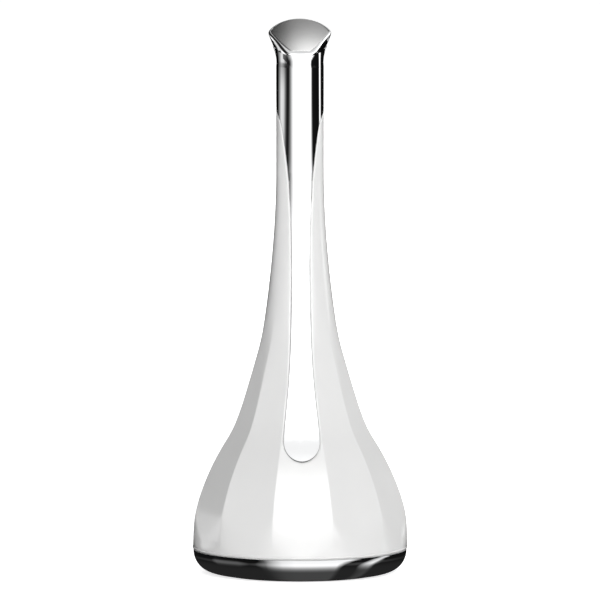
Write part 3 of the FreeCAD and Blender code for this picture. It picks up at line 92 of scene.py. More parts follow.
def calc(tree, operation, *values):
    """A Math node; each value is a number or an output of another node."""
    node = add(tree, "Math", operation=operation)
    for index, value in enumerate(values):
        if isinstance(value, float):
            node.inputs[index].default_value = value
        else:
            feed(tree, value, node.inputs[index])
    return node.outputs[0]


def mapped(tree, value, low, high, to_low=0.0, to_high=1.0, kind="LINEAR"):
    """A value moved from one range to another, and held at its ends."""
    node = add(tree, "MapRange", interpolation_type=kind)
    node.inputs["From Min"].default_value = low
    node.inputs["From Max"].default_value = high
    node.inputs["To Min"].default_value = to_low
    node.inputs["To Max"].default_value = to_high
    feed(tree, value, node.inputs["Value"])
    return node.outputs["Result"]


def between(tree, value, low, high):
    """0 below the low value, 1 above the high one, with a soft step."""
    return mapped(tree, value, low, high, kind="SMOOTHSTEP")


def place_axes(tree):
    """X, Y and Z of the place on a studio card."""
    place = add(tree, "NewGeometry")
    axes = add(tree, "SeparateXYZ")
    feed(tree, place.outputs["Position"], axes.inputs["Vector"])
    return axes.outputs


def group_sockets(tree, inputs, outputs):
    for name, default, low, high in inputs:
        socket = tree.interface.new_socket(name, in_out="INPUT", socket_type="NodeSocketFloat")
        socket.default_value = default
        socket.min_value = low
        socket.max_value = high
    for name, kind in outputs:
        tree.interface.new_socket(name, in_out="OUTPUT", socket_type=kind)


def make_surface_grain():
    """Fine unevenness of a moulded or plated skin: a height, a mask and a shift of roughness."""
    tree = bpy.data.node_groups.new("SurfaceGrain", "ShaderNodeTree")
    group_sockets(tree, [("Waves per metre", 120.0, 1.0, 20000.0),
                         ("Grain per metre", 4000.0, 1.0, 60000.0),
                         ("Wave share", 0.7, 0.0, 1.0)],
                  [("Height", "NodeSocketFloat"), ("Patches", "NodeSocketFloat")])
    source = tree.nodes.new("NodeGroupInput")
    result = tree.nodes.new("NodeGroupOutput")
    place = add(tree, "TexCoord")
    wave = add(tree, "TexNoise")
    wave.inputs["Detail"].default_value = 2.0
    grain = add(tree, "TexNoise")
    grain.inputs["Detail"].default_value = 3.0
    blend = add(tree, "Mix", data_type="FLOAT")
    feed(tree, place.outputs["Object"], wave.inputs["Vector"])
    feed(tree, place.outputs["Object"], grain.inputs["Vector"])
    feed(tree, source.outputs["Waves per metre"], wave.inputs["Scale"])
    feed(tree, source.outputs["Grain per metre"], grain.inputs["Scale"])
    feed(tree, source.outputs["Wave share"], blend.inputs["Factor"])
    feed(tree, grain.outputs["Fac"], blend.inputs["A"])
    feed(tree, wave.outputs["Fac"], blend.inputs["B"])
    feed(tree, blend.outputs["Result"], result.inputs["Height"])
    feed(tree, wave.outputs["Fac"], result.inputs["Patches"])
    return tree


GRAIN = make_surface_grain()


def place_grain(tree, waves, grain, share):
    node = tree.nodes.new("ShaderNodeGroup")
    node.node_tree = GRAIN
    node.inputs["Waves per metre"].default_value = waves
    node.inputs["Grain per metre"].default_value = grain
    node.inputs["Wave share"].default_value = share
    return node


def finish(name, color, metallic, rough, rough_spread, waves=150.0, grain=5000.0, share=0.7,
           bump=0.02, depth=0.00002, tint=0.03, coat=0.0, coat_rough=0.05, specular=0.5):
    """A finish whose colour, roughness and relief all vary a little over the surface."""
    material, tree, shader = new_material(name)
    relief = place_grain(tree, waves, grain, share)
    feed(tree, mapped(tree, relief.outputs["Patches"], 0.0, 1.0, rough - rough_spread,
                      rough + rough_spread), shader.inputs["Roughness"])
    shade = add(tree, "Mix", data_type="RGBA")
    dark = [channel * (1.0 - tint) for channel in color]
    shade.inputs["A"].default_value = (*dark, 1.0)
    shade.inputs["B"].default_value = (*color, 1.0)
    feed(tree, relief.outputs["Patches"], shade.inputs["Factor"])
    feed(tree, shade.outputs["Result"], shader.inputs["Base Color"])
    dent = add(tree, "Bump")
    dent.inputs["Strength"].default_value = bump
    dent.inputs["Distance"].default_value = depth
    feed(tree, relief.outputs["Height"], dent.inputs["Height"])
    feed(tree, dent.outputs["Normal"], shader.inputs["Normal"])
    shader.inputs["Metallic"].default_value = metallic
    shader.inputs["Coat Weight"].default_value = coat
    shader.inputs["Coat Roughness"].default_value = coat_rough
    shader.inputs["Specular IOR Level"].default_value = specular
    return material


# ---------------------------------------------------------------- finishes

FINISHES = {
    "shell_white": finish("GlossWhiteMoulding", (0.86, 0.86, 0.855), 0.0, 0.16, 0.03,
                          bump=0.05, coat=0.5),
    "plated": finish("MirrorPlating", (0.93, 0.935, 0.94), 1.0, 0.03, 0.012, waves=90.0,
                     grain=9000.0, bump=0.03, tint=0.01),
    "plate_satin": finish("SatinPlate", (0.60, 0.60, 0.595), 1.0, 0.25, 0.04, grain=14000.0,
                          share=0.3, bump=0.12, tint=0.05),
    "black_rubber": finish("BlackRubber", (0.022, 0.022, 0.024), 0.0, 0.62, 0.08, grain=9000.0,
                           share=0.2, bump=0.4, tint=0.3),
    "grey_plastic": finish("GreyMoulding", (0.20, 0.205, 0.215), 0.0, 0.48, 0.06, grain=7000.0,
                           share=0.3, bump=0.3, tint=0.08),
    "white_plastic": finish("WhiteMoulding", (0.72, 0.72, 0.70), 0.0, 0.42, 0.05, grain=6000.0,
                            share=0.4, bump=0.2, tint=0.04),
    "black_plastic": finish("BlackMoulding", (0.025, 0.025, 0.027), 0.0, 0.40, 0.06,
                            grain=8000.0, share=0.3, bump=0.25, tint=0.2),
    "screw_steel": finish("ZincSteel", (0.50, 0.50, 0.51), 1.0, 0.30, 0.08, grain=12000.0,
                          share=0.4, bump=0.2, tint=0.1),
    "nickel_steel": finish("NickelStrip", (0.66, 0.64, 0.60), 1.0, 0.22, 0.05, grain=12000.0,
                           share=0.4, bump=0.15, tint=0.06),
    "cell_label": finish("CellSleeve", (0.06, 0.065, 0.075), 0.3, 0.30, 0.05, bump=0.05,
                         coat=0.5),
    "board_green": finish("SolderResist", (0.012, 0.10, 0.045), 0.0, 0.30, 0.06, grain=9000.0,
                          share=0.3, bump=0.2, tint=0.2, coat=0.4),
    "ceramic_white": finish("FiredCeramic", (0.78, 0.77, 0.73), 0.0, 0.50, 0.05, bump=0.2),
    "pad_grey": finish("FilledSilicone", (0.17, 0.175, 0.185), 0.0, 0.60, 0.05, bump=0.3),
    "tungsten_grey": finish("SinteredWeight", (0.20, 0.20, 0.21), 1.0, 0.45, 0.08, bump=0.4),
    "lead_red": finish("RedInsulation", (0.42, 0.02, 0.015), 0.0, 0.38, 0.05, bump=0.1),
    "lead_white": finish("WhiteInsulation", (0.75, 0.75, 0.73), 0.0, 0.38, 0.05, bump=0.1),
    "lead_blue": finish("BlueInsulation", (0.015, 0.05, 0.35), 0.0, 0.38, 0.05, bump=0.1),
    "lead_black": finish("BlackInsulation", (0.02, 0.02, 0.02), 0.0, 0.38, 0.05, bump=0.1),
}
PALE_GASKET = finish("PaleSilicone", (0.78, 0.78, 0.77), 0.0, 0.35, 0.05, bump=0.1)


def dress_nodes():
    """Gives every node of the frame the finish of its slot."""
    slots = {part["node"]: part["material_slot"] for part in frame["record"]["subparts"]}
    for name, node in frame["nodes"].items():
        material = PALE_GASKET if name == "seam_gasket" else FINISHES[slots[name]]
        node.data.materials.clear()
        node.data.materials.append(material)


# ---------------------------------------------------------------- forms shared with the solids

# poles of the bell's profile, from the seam up to the neck, in millimetres: height, radius, how
# deep a flat facet lies below the radius, and wall
SEAM_Z = 6.2
NECK_R = 5.9
BELL_Z = [SEAM_Z, 15.9, 32.3, 35.2, 55.4, 60.8, 87.0, 100.0]
BELL_R = [26.4, 27.8, 20.0, 16.45, 10.7, 8.7, NECK_R, NECK_R]
FACET_SINK = [-0.05, 1.65, 0.85, 0.75, 0.55, -0.15, -0.9, -0.9]
WALL = [2.2, 2.2, 2.2, 2.2, 2.2, 2.105, 1.345, 1.25]
FACET_COUNT = 11
FACET_STEP = 2 * math.pi / FACET_COUNT
# the strip's slot by half width and height, and the collar's lip by depth and height
SLOT_TIP_R = 4.7
SLOT_TIP_Z = 34.2
SLOT_SIDE = [(SLOT_TIP_R, SLOT_TIP_Z), (SLOT_TIP_R, 36.2), (2.95, 48.5), (2.5, 66.0),
             (2.2, 83.0), (3.05, 98.0)]
COLLAR_LIP = [(-5.3, 92.5), (-5.16, 99.21), (-3.03, 119.99), (-1.13, 109.5), (6.6, 128.3)]
# how wide the facet edges are rounded, by height
SOFT_Z = [SEAM_Z, 8.5, 11.0, 15.5, 40.0, 60.0]
SOFT_WIDTH = [0.1, 0.9, 0.9, 0.22, 0.22, 0.5]
LIP_ROUND = 0.38
SEAM_ROUND = 0.22
# the rolled lip above the seam: heights over the seam and how far it stands out
LIP_RISE = [0.0, 0.25, 0.38, 0.52]
LIP_SWELL = [0.17, 0.2, 0.18, 0.0]
# fineness of the shell: points along its curves and round its edges
PROFILE_POINTS = 900
SIDE_POINTS = 300
LIP_POINTS = 1200
TIP_POINTS = 30
EDGE_POINTS = 190
EDGE_STEP = 0.2
SEAM_TURNS = 5
LIP_TURNS = 6
# rows of its skin, their start over the seam, and rows of its inner face
SKIN_ROWS = 33
SKIN_START = 1.0
INNER_ROWS = 24
# wide and narrow columns of half a facet, and the share of it that the wide ones cover; the
# rest is close to an edge
SKIN_COLUMNS = (5, 11)
INNER_COLUMNS = (3, 4)
WIDE_SHARE = 0.68
# its faces look smooth where they meet at less than this angle, in degrees
SHELL_SHARP = 32.0
# distances in metres below which points are one
MERGE = 1e-7
MERGE_SHELL = 2e-7
MERGE_HALVES = 2e-6


def curve_points(poles, count):
    """Points along a smooth cubic curve that starts at the first pole and ends at the last."""
    spans = len(poles) - 3
    knots = [0.0] * 3 + [float(i) for i in range(spans + 1)] + [float(spans)] * 3
    points = []
    for t in np.linspace(0.0, spans, count):
        k = min(int(t), spans - 1) + 3
        work = [np.array(poles[j], float) for j in range(k - 3, k + 1)]
        for level in range(1, 4):
            for j in range(3, level - 1, -1):
                low = knots[j + k - 3]
                high = knots[j + 1 + k - level]
                share = (t - low) / (high - low)
                work[j] = work[j - 1] * (1 - share) + work[j] * share
        points.append(work[3])
    return np.array(points)


PROFILE = curve_points(list(zip(BELL_Z, BELL_R, FACET_SINK, WALL)), PROFILE_POINTS)


def profile(z, column):
    return np.interp(z, PROFILE[:, 0], PROFILE[:, column])


def outer_radius(angle, z):
    """Radius of the bell's skin at an angle from the front: round, with softened flat facets."""
    round_r = profile(z, 1)
    flat = round_r - profile(z, 2)
    off = (angle + FACET_STEP / 2) % FACET_STEP - FACET_STEP / 2
    flat = flat / np.cos(off)
    soft = np.interp(z, SOFT_Z, SOFT_WIDTH)
    h = np.clip(0.5 + 0.5 * (flat - round_r) / soft, 0.0, 1.0)
    return flat * (1 - h) + round_r * h - soft * h * (1 - h)


def opening_edge():
    """Edge of the shell's opening, as angle from the front and height: round the strip's tip,
    up its side and along the collar's lip to the back."""
    turn = np.linspace(0, math.pi / 2, TIP_POINTS)
    low_z = SLOT_TIP_Z - SLOT_TIP_R * np.cos(turn)
    low = [(math.asin(w / profile(z, 1)), z)
           for w, z in zip(SLOT_TIP_R * np.sin(turn), low_z)]
    side = curve_points(SLOT_SIDE, SIDE_POINTS)
    lip = curve_points(COLLAR_LIP, LIP_POINTS)
    lip = lip[lip[:, 0] < NECK_R]
    heights = np.arange(SLOT_TIP_Z + EDGE_STEP, COLLAR_LIP[0][1], EDGE_STEP)
    rising = [(math.asin(np.interp(z, side[:, 1], side[:, 0]) / profile(z, 1)), z)
              for z in heights]
    over = []
    for y, z in lip:
        angle = math.acos(-y / NECK_R)
        if z < SLOT_SIDE[-1][1]:
            angle = max(angle, math.asin(np.interp(z, side[:, 1], side[:, 0]) / NECK_R))
        over.append((angle, z))
    over.append((math.pi, lip[-1][1]))
    line = np.array(rising + over)
    flat = np.column_stack([line[:, 0] * profile(line[:, 1], 1), line[:, 1]])
    run = np.concatenate([[0], np.cumsum(np.hypot(*np.diff(flat, axis=0).T))])
    marks = np.linspace(0, run[-1], EDGE_POINTS)[1:]
    upper = [(np.interp(m, run, line[:, 0]), np.interp(m, run, line[:, 1])) for m in marks]
    return np.array(low + upper)


def edge_normals(edge):
    """Directions from the opening's edge into the shell, on the unrolled skin."""
    radius = profile(edge[:, 1], 1)
    along = np.gradient(edge[:, 0]) * radius
    up = np.gradient(edge[:, 1])
    along[0], up[0] = 1.0, 0.0
    along[-1], up[-1] = 1.0, 0.0
    length = np.hypot(along, up)
    return np.column_stack([up / length, -along / length])


def angle_columns(coarse, fine):
    """Angles from front to back, close together where two facets meet."""
    to_edge = np.concatenate([np.linspace(0, WIDE_SHARE, coarse),
                              np.linspace(WIDE_SHARE, 1, fine)[1:]])
    columns = []
    for index in range(FACET_COUNT):
        parts = to_edge if index % 2 == 0 else 1 - to_edge[::-1]
        columns.extend((index + parts[:-1]) * FACET_STEP / 2)
    columns.append(math.pi)
    return np.array(columns)


def skin_point(angle, z, sink=0.0):
    lip = np.interp(z - SEAM_Z, LIP_RISE, LIP_SWELL)
    radius = float(outer_radius(angle, z) + lip) - sink
    return (radius * math.sin(angle) * MM, -radius * math.cos(angle) * MM, z * MM)


def inner_point(angle, z):
    radius = float(profile(z, 1) - profile(z, 3))
    return (radius * math.sin(angle) * MM, -radius * math.cos(angle) * MM, z * MM)


def stitch(mesh, rows):
    """Quads between rows of points; points that fall together make triangles."""
    made = [[mesh.verts.new(p) for p in row] for row in rows]
    for low, high in zip(made, made[1:]):
        for a, b, c, d in zip(low, low[1:], high[1:], high):
            mesh.faces.new((a, b, c, d))
    return made


def seam_edge():
    """Height and sink of each row of the rounded edge at the seam, from below."""
    return [(SEAM_Z + SEAM_ROUND * (1 - math.sin(a)), SEAM_ROUND * (1 - math.cos(a)))
            for a in np.linspace(math.pi / 2, 0, SEAM_TURNS)]


def skin_rows(columns, seam, shoulder):
    """The outer skin, from the seam's rounded edge up to the shoulder of the opening's lip."""
    plain_z = np.concatenate([SEAM_Z + np.array(LIP_RISE[1:]),
                              np.linspace(SEAM_Z + SKIN_START, shoulder[0, 1], SKIN_ROWS)[:-1]])
    rows = [[skin_point(a, z, sink) for a in columns] for z, sink in seam]
    rows += [[skin_point(a, z) for a in columns] for z in plain_z]
    rows += [[skin_point(max(a, start), z) for a in columns] for start, z in shoulder]
    return rows


def lip_rows(edge, normal, radius):
    """The rounded lip of the opening; each row runs from the skin over the edge to the inside."""
    rows = []
    for (start, z), (n_along, n_up), r in zip(edge, normal, radius):
        row = []
        for a in np.linspace(0, math.pi / 2, LIP_TURNS):
            reach = LIP_ROUND * (1 - math.sin(a))
            angle = min(max(start + n_along * reach / r, 0.0), math.pi)
            row.append(skin_point(angle, z + n_up * reach, LIP_ROUND * (1 - math.cos(a))))
        row.append(inner_point(start, z))
        rows.append(row)
    return rows


def wall_rows(columns, edge):
    """The inner face of the wall, from the seam up to the opening's edge."""
    rows = [[inner_point(a, z) for a in columns]
            for z in np.linspace(SEAM_Z, edge[0, 1], INNER_ROWS)[:-1]]
    rows += [[inner_point(max(a, start), z) for a in columns] for start, z in edge]
    return rows


def mirror_half(mesh):
    """Adds the other half of the shell and joins the two at the front and the back."""
    half = mesh.verts[:] + mesh.edges[:] + mesh.faces[:]
    for item in bmesh.ops.duplicate(mesh, geom=half)["geom"]:
        if isinstance(item, bmesh.types.BMVert):
            item.co.x = -item.co.x
    bmesh.ops.remove_doubles(mesh, verts=mesh.verts, dist=MERGE_HALVES)


def make_shell():
    """White bell with softened facet edges, rounded lips at the strip, collar and seam."""
    edge = opening_edge()
    normal = edge_normals(edge)
    radius = profile(edge[:, 1], 1)
    shoulder = edge + normal * LIP_ROUND / np.column_stack([radius, np.ones(len(radius))])
    shoulder[0, 0] = 0.0
    shoulder[-1, 0] = math.pi
    columns = angle_columns(*SKIN_COLUMNS)
    seam = seam_edge()
    mesh = bmesh.new()
    stitch(mesh, skin_rows(columns, seam, shoulder))
    stitch(mesh, lip_rows(edge, normal, radius))
    stitch(mesh, wall_rows(angle_columns(*INNER_COLUMNS), edge))
    stitch(mesh, [[inner_point(a, SEAM_Z) for a in columns],
                  [skin_point(a, *seam[0]) for a in columns]])
    bmesh.ops.remove_doubles(mesh, verts=mesh.verts, dist=MERGE_SHELL)
    mirror_half(mesh)
    bmesh.ops.dissolve_degenerate(mesh, edges=mesh.edges, dist=MERGE)
    bmesh.ops.recalc_face_normals(mesh, faces=mesh.faces)
    shell = add_piece("shell", mesh, FINISHES["shell_white"], SHELL_SHARP)
    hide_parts("body_shell")
    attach(shell, "housing")


def add_piece(name, mesh, material, sharp_degrees):
    """Turns mesh work into an object with smooth shading up to an angle."""
    data = bpy.data.meshes.new(name)
    mesh.to_mesh(data)
    mesh.free()
    data.materials.append(material)
    piece = bpy.data.objects.new(name, data)
    bpy.context.scene.collection.objects.link(piece)
    data.shade_smooth()
    data.set_sharp_from_angle(angle=math.radians(sharp_degrees))
    return piece


# ---------------------------------------------------------------- head and massage plate

# The head's outlines by height, in millimetres: half width at the tips, reach to the back, half
# width and reach of the front corners, bow of the sides and of the front.
HEAD_LEVELS = [(129.4, 6.2, 5.9, 3.1, 6.05, 0.6, 0.2), (131.4, 6.95, 5.9, 3.3, 6.25, 0.3, 0.15),
               (133.7, 7.95, 5.75, 3.3, 6.4, 0.0, 0.1), (139.0, 7.95, 5.75, 3.3, 6.4, 0.0, 0.1)]
HEAD_SOFT = 1.8
TIP_Y = 1.1
# below them it is round; the tip and the corner share out the points of its circle
ROUND_LEVELS = [126.0, 128.0]
ROUND_TIP = (7.7, TIP_Y)
ROUND_CORNER = (3.3, 5.9)
STACK_SPAN = (127.0, 138.9)
STACK_ROWS = 240
# points along the back, the left side, the front and the right side of an outline
SEGMENTS = (62, 25, 21, 25)
SOFT_REACH = 5
# the tilted face with its recess and cavity, and the joint with the neck
FACE_Z = 133.55
FACE_TILT = math.radians(34.2)
RECESS_DEPTH = 0.35
CAVITY_R = 3.0
CAVITY_FRONT = 1.6
CAVITY_DEPTHS = (0.4, 3.2)
JOINT_Z = 130.6
JOINT_SLOPE = math.tan(math.radians(14.3))
SPIGOT_Z = 126.6
SPIGOT_R = 3.85
BORE_R = 2.9
BORE_TOP = 129.2
# rounding of the head's edge: its reach, most of it on a low flank, and the land it leaves
EDGE_ROUND = 0.55
EDGE_SHARE = 0.8
EDGE_LAND = 0.04
FLANK_ROWS = 12
EDGE_ROWS = 9
# faces of the head and the plate look smooth where they meet at less than this angle
HEAD_SHARP = 35.0
# the massage plate in its recess
PLATE_TIP = (7.4, 1.55)
PLATE_BACK = 6.35
PLATE_LOW = (2.5, 6.1)
PLATE_BOW = 0.28
PLATE_SOFT = 0.9
PLATE_GAP = 0.02
PLATE_ROUND = 0.07
PLATE_TURNS = 5
PLATE_DEPTH = 1.15
PLATE_RISE = 0.55
PLATE_RINGS = (0.94, 0.85, 0.74, 0.6, 0.45, 0.3, 0.15)
DOME_R = 40.0


def bowed(start, end, bow, count):
    """Points from start towards end, swelling outwards in between; the end is left out."""
    start, end = np.array(start), np.array(end)
    run = end - start
    out = np.array([run[1], -run[0]]) / np.hypot(*run)
    t = np.linspace(0, 1, count, endpoint=False)[:, None]
    return start + run * t + out * 4 * bow * t * (1 - t)


def back_arc(tip, back, count):
    """Points on the arc from the right tip round the back to the left one, left out."""
    middle = (back ** 2 - tip[0] ** 2 - tip[1] ** 2) / (2 * (back - tip[1]))
    start = math.atan2(tip[1] - middle, tip[0])
    turn = np.linspace(start, math.pi - start, count, endpoint=False)
    return np.column_stack([(back - middle) * np.cos(turn),
                            middle + (back - middle) * np.sin(turn)])


def almond(tip, back, corner, side_bow, front_bow, soft):
    """Closed outline with a round back, two side tips and a short front, its corners softened."""
    (tip_w, tip_y), (corner_w, corner_y) = tip, corner
    left = (-tip_w, tip_y)
    low_left, low_right = (-corner_w, -corner_y), (corner_w, -corner_y)
    line = np.vstack([back_arc(tip, back, SEGMENTS[0]),
                      bowed(left, low_left, side_bow, SEGMENTS[1]),
                      bowed(low_left, low_right, front_bow, SEGMENTS[2]),
                      bowed(low_right, (tip_w, tip_y), side_bow, SEGMENTS[3])])
    return soften(line, soft)


def soften(line, soft):
    """The outline with each point moved to the middle of its neighbours."""
    reach = np.arange(-SOFT_REACH, SOFT_REACH + 1)
    weight = np.exp(-0.5 * (reach / soft) ** 2)
    weight /= weight.sum()
    return sum(w * np.roll(line, k, axis=0) for k, w in zip(reach, weight))


def round_outline(radius, tip, corner):
    """The same points on a circle, shared out like the almond's."""
    marks = [math.atan2(tip[1], tip[0]), math.atan2(tip[1], -tip[0]),
             2 * math.pi + math.atan2(-corner[1], -corner[0]),
             2 * math.pi + math.atan2(-corner[1], corner[0])]
    marks.append(marks[0] + 2 * math.pi)
    turn = np.concatenate([np.linspace(a, b, n, endpoint=False)
                           for a, b, n in zip(marks, marks[1:], SEGMENTS)])
    return radius * np.column_stack([np.cos(turn), np.sin(turn)])


def smooth_through(heights, layers, z):
    """Natural cubic curve through layered points, read at many heights."""
    gap = np.diff(heights)
    size = len(heights)
    system = np.eye(size)
    wanted = np.zeros_like(layers)
    for i in range(1, size - 1):
        system[i, i - 1:i + 2] = gap[i - 1], 2 * (gap[i - 1] + gap[i]), gap[i]
        wanted[i] = 6 * ((layers[i + 1] - layers[i]) / gap[i]
                         - (layers[i] - layers[i - 1]) / gap[i - 1])
    bend = np.linalg.solve(system, wanted.reshape(size, -1)).reshape(layers.shape)
    result = []
    for height in z:
        i = min(max(int(np.searchsorted(heights, height)) - 1, 0), size - 2)
        a, b = heights[i + 1] - height, height - heights[i]
        result.append((bend[i] * a ** 3 + bend[i + 1] * b ** 3) / (6 * gap[i])
                      + (layers[i] / gap[i] - bend[i] * gap[i] / 6) * a
                      + (layers[i + 1] / gap[i] - bend[i + 1] * gap[i] / 6) * b)
    return np.array(result)


def crossing(stack, z, base, slope):
    """Height at which each column of the stack meets a tilted plane."""
    over = z[:, None] - (base + slope * stack[:, :, 1])
    index = np.argmax(over > 0, axis=0)
    column = np.arange(stack.shape[1])
    low, high = over[index - 1, column], over[index, column]
    return z[index - 1] - low / (high - low) * (z[index] - z[index - 1])


def at_height(stack, z, heights):
    """Points of the stack's columns at their own heights."""
    return np.array([[np.interp(h, z, stack[:, i, 0]), np.interp(h, z, stack[:, i, 1]), h]
                     for i, h in enumerate(heights)])


def on_face(line, depth):
    """Points of an outline in the tilted face, a depth above or below it."""
    cos, sin = math.cos(FACE_TILT), math.sin(FACE_TILT)
    depth = np.broadcast_to(depth, len(line))
    return np.column_stack([line[:, 0], line[:, 1] * cos - depth * sin,
                            FACE_Z + line[:, 1] * sin + depth * cos])


def inward(line):
    """Unit directions into a closed outline that runs anticlockwise."""
    run = np.roll(line, -1, axis=0) - np.roll(line, 1, axis=0)
    run /= np.hypot(run[:, 0], run[:, 1])[:, None]
    return np.column_stack([-run[:, 1], run[:, 0]])


def plate_line(grow):
    """Outline of the plate in the face, grown by a gap."""
    line = almond(PLATE_TIP, PLATE_BACK, PLATE_LOW, PLATE_BOW, 0.0, PLATE_SOFT)
    return line - inward(line) * grow


def head_stack():
    """Heights, and the head's outline at each of them, from the round neck to above the face."""
    heights = ROUND_LEVELS + [level[0] for level in HEAD_LEVELS]
    layers = [round_outline(NECK_R, ROUND_TIP, ROUND_CORNER) for _ in ROUND_LEVELS]
    for _, tip_w, back, corner_w, corner_y, side_bow, front_bow in HEAD_LEVELS:
        layers.append(almond((tip_w, TIP_Y), back, (corner_w, corner_y), side_bow, front_bow,
                             HEAD_SOFT))
    z = np.linspace(*STACK_SPAN, STACK_ROWS)
    return z, smooth_through(np.array(heights), np.array(layers), z)


def face_land(edge, recess):
    """Where the edge's rounding ends on the face, a narrow land away from the recess."""
    flat = np.column_stack([edge[:, 0], edge[:, 1] / math.cos(FACE_TILT)])
    free = np.min(np.hypot(*(flat[:, None] - recess[None]).transpose(2, 0, 1)), axis=1)
    reach = np.minimum(EDGE_ROUND, free - EDGE_LAND)
    return on_face(flat + inward(flat) * reach[:, None], 0.0)


def flank_rows(recess):
    """The head's outside from the neck over the rounded edge to the face, in rows, and the
    angle of each point of a row."""
    z, stack = head_stack()
    foot = crossing(stack, z, JOINT_Z, JOINT_SLOPE)
    edge_z = crossing(stack, z, FACE_Z, math.tan(FACE_TILT))
    edge = at_height(stack, z, edge_z)
    start = at_height(stack, z, edge_z - np.minimum(EDGE_ROUND, EDGE_SHARE * (edge_z - foot)))
    land = face_land(edge, recess)
    rows = [at_height(stack, z, foot + share * (start[:, 2] - foot))
            for share in np.linspace(0, 1, FLANK_ROWS)[:-1]]
    rows += [start * (1 - q) ** 2 + edge * 2 * q * (1 - q) + land * q ** 2
             for q in np.linspace(0, 1, EDGE_ROWS)]
    return rows, np.arctan2(edge[:, 1], edge[:, 0])


def make_head():
    """Plated head: a flare with rounded edges round the tilted recess of the plate."""
    recess = plate_line(PLATE_GAP)
    flank, turn = flank_rows(recess)
    ring = np.column_stack([np.cos(turn), np.sin(turn)])
    spigot = [level_ring(ring, BORE_R, SPIGOT_Z), level_ring(ring, SPIGOT_R, SPIGOT_Z),
              level_ring(ring, SPIGOT_R, JOINT_Z + JOINT_SLOPE * SPIGOT_R * ring[:, 1])]
    cavity = [on_face(ring * CAVITY_R - np.array([0.0, CAVITY_FRONT]), -depth)
              for depth in CAVITY_DEPTHS]
    rows = [*spigot, *flank, on_face(recess, 0.0), on_face(recess, -RECESS_DEPTH), *cavity,
            level_ring(ring, BORE_R, BORE_TOP), spigot[0]]
    mesh = bmesh.new()
    stitch(mesh, closed(rows))
    bmesh.ops.remove_doubles(mesh, verts=mesh.verts, dist=MERGE)
    bmesh.ops.recalc_face_normals(mesh, faces=mesh.faces)
    head = add_piece("head", mesh, FINISHES["plated"], HEAD_SHARP)
    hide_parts("head_rim")
    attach(head, "housing")


def level_ring(ring, radius, z):
    """A circle round the axis at a height, or at a height for each of its points."""
    return np.column_stack([ring * radius, np.broadcast_to(z, len(ring))])


def closed(rows):
    """Rows in metres, each ending where it starts."""
    return [[tuple(point * MM) for point in row] + [tuple(row[0] * MM)] for row in rows]


def make_plate():
    """Satin plate with a soft dome and a rounded edge."""
    line = plate_line(0.0)
    into = inward(line)
    rows = [on_face(line, -PLATE_DEPTH), on_face(line, dome(line) - PLATE_ROUND)]
    for a in np.linspace(0, math.pi / 2, PLATE_TURNS)[1:]:
        inner = line + into * PLATE_ROUND * (1 - math.cos(a))
        rows.append(on_face(inner, dome(inner) - PLATE_ROUND * (1 - math.sin(a))))
    for share in PLATE_RINGS:
        inner = (line + into * PLATE_ROUND) * share
        rows.append(on_face(inner, dome(inner)))
    mesh = bmesh.new()
    made = stitch(mesh, closed(rows))
    for end in (made[0], made[-1]):
        mesh.faces.new(end[:-1])
    bmesh.ops.remove_doubles(mesh, verts=mesh.verts, dist=MERGE)
    bmesh.ops.recalc_face_normals(mesh, faces=mesh.faces)
    plate = add_piece("plate", mesh, FINISHES["plate_satin"], HEAD_SHARP)
    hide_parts("massage_plate")
    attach(plate, "housing")


def dome(line):
    """Height of the plate's top over the face, at each point of a line."""
    return PLATE_RISE - (line[:, 0] ** 2 + line[:, 1] ** 2) / (2 * DOME_R)


# ---------------------------------------------------------------- studio

# Brightness of the reflecting screen round the wand, by angle from the front, + to the right.
# What the neck mirrors is the same in front and to the right, and darker on the left higher up.
NECK_FRONT = [(-67, 0.01), (-56, 0.012), (-49, 0.25), (-38, 0.92), (-28, 1.6), (-10, 2.2),
              (46, 2.2), (52, 1.2), (58, 0.008), (102, 0.004), (107, 1.4), (113, 1.3),
              (118, 0.008), (164, 0.0), (168, 0.8), (180, 0.9)]
NECK_STOPS = [(-180, 0.0), (-133, 0.0), (-117, 0.32), (-103, 0.84), (-87, 0.74),
              (-75, 0.17)] + NECK_FRONT
THROAT_STOPS = [(-180, 0.0), (-133, 0.0), (-117, 0.19), (-101, 0.4), (-86, 0.23),
                (-74, 0.05)] + NECK_FRONT
# the screen below the neck's part of it, level with the head, and above the head
LOW_STOPS = [(-180, 0.0), (-139, 0.0), (-134, 0.75), (-126, 0.75), (-122, 1.3), (-106, 1.3),
             (-100, 0.2), (-84, 0.1), (-74, 0.03), (-57, 0.015), (-50, 0.3), (-38, 0.92),
             (-28, 1.6), (-10, 2.2), (48, 2.2), (53, 1.2), (59, 0.008), (180, 0.0)]
HEAD_STOPS = [(-180, 0.0), (-118, 0.02), (-110, 0.3), (-92, 0.3), (-76, 0.05), (-57, 0.012),
              (-50, 0.3), (-38, 0.92), (-28, 1.6), (-10, 2.2), (46, 2.2), (52, 1.2),
              (58, 0.008), (180, 0.0)]
UPPER_STOPS = [(-180, 0.1), (-175, 0.02), (-55, 0.02), (-35, 1.2), (-10, 2.0), (46, 2.0),
               (58, 0.02), (138, 0.02), (150, 0.6), (174, 0.6), (180, 0.3)]
# where one set of the screen's tones gives way to the next, by height in metres
SCREEN_ZONES = [(0.055, 0.060, NECK_STOPS), (0.077, 0.088, THROAT_STOPS),
                (0.0925, 0.0935, HEAD_STOPS), (0.102, 0.115, UPPER_STOPS)]
SCREEN_R = 0.45
SCREEN_FOOT = -0.01
SCREEN_TOP = 0.50
# the screen loses this share of its strength between these heights
SCREEN_FADE = (0.20, 0.50)
FADE_SHARE = 0.38

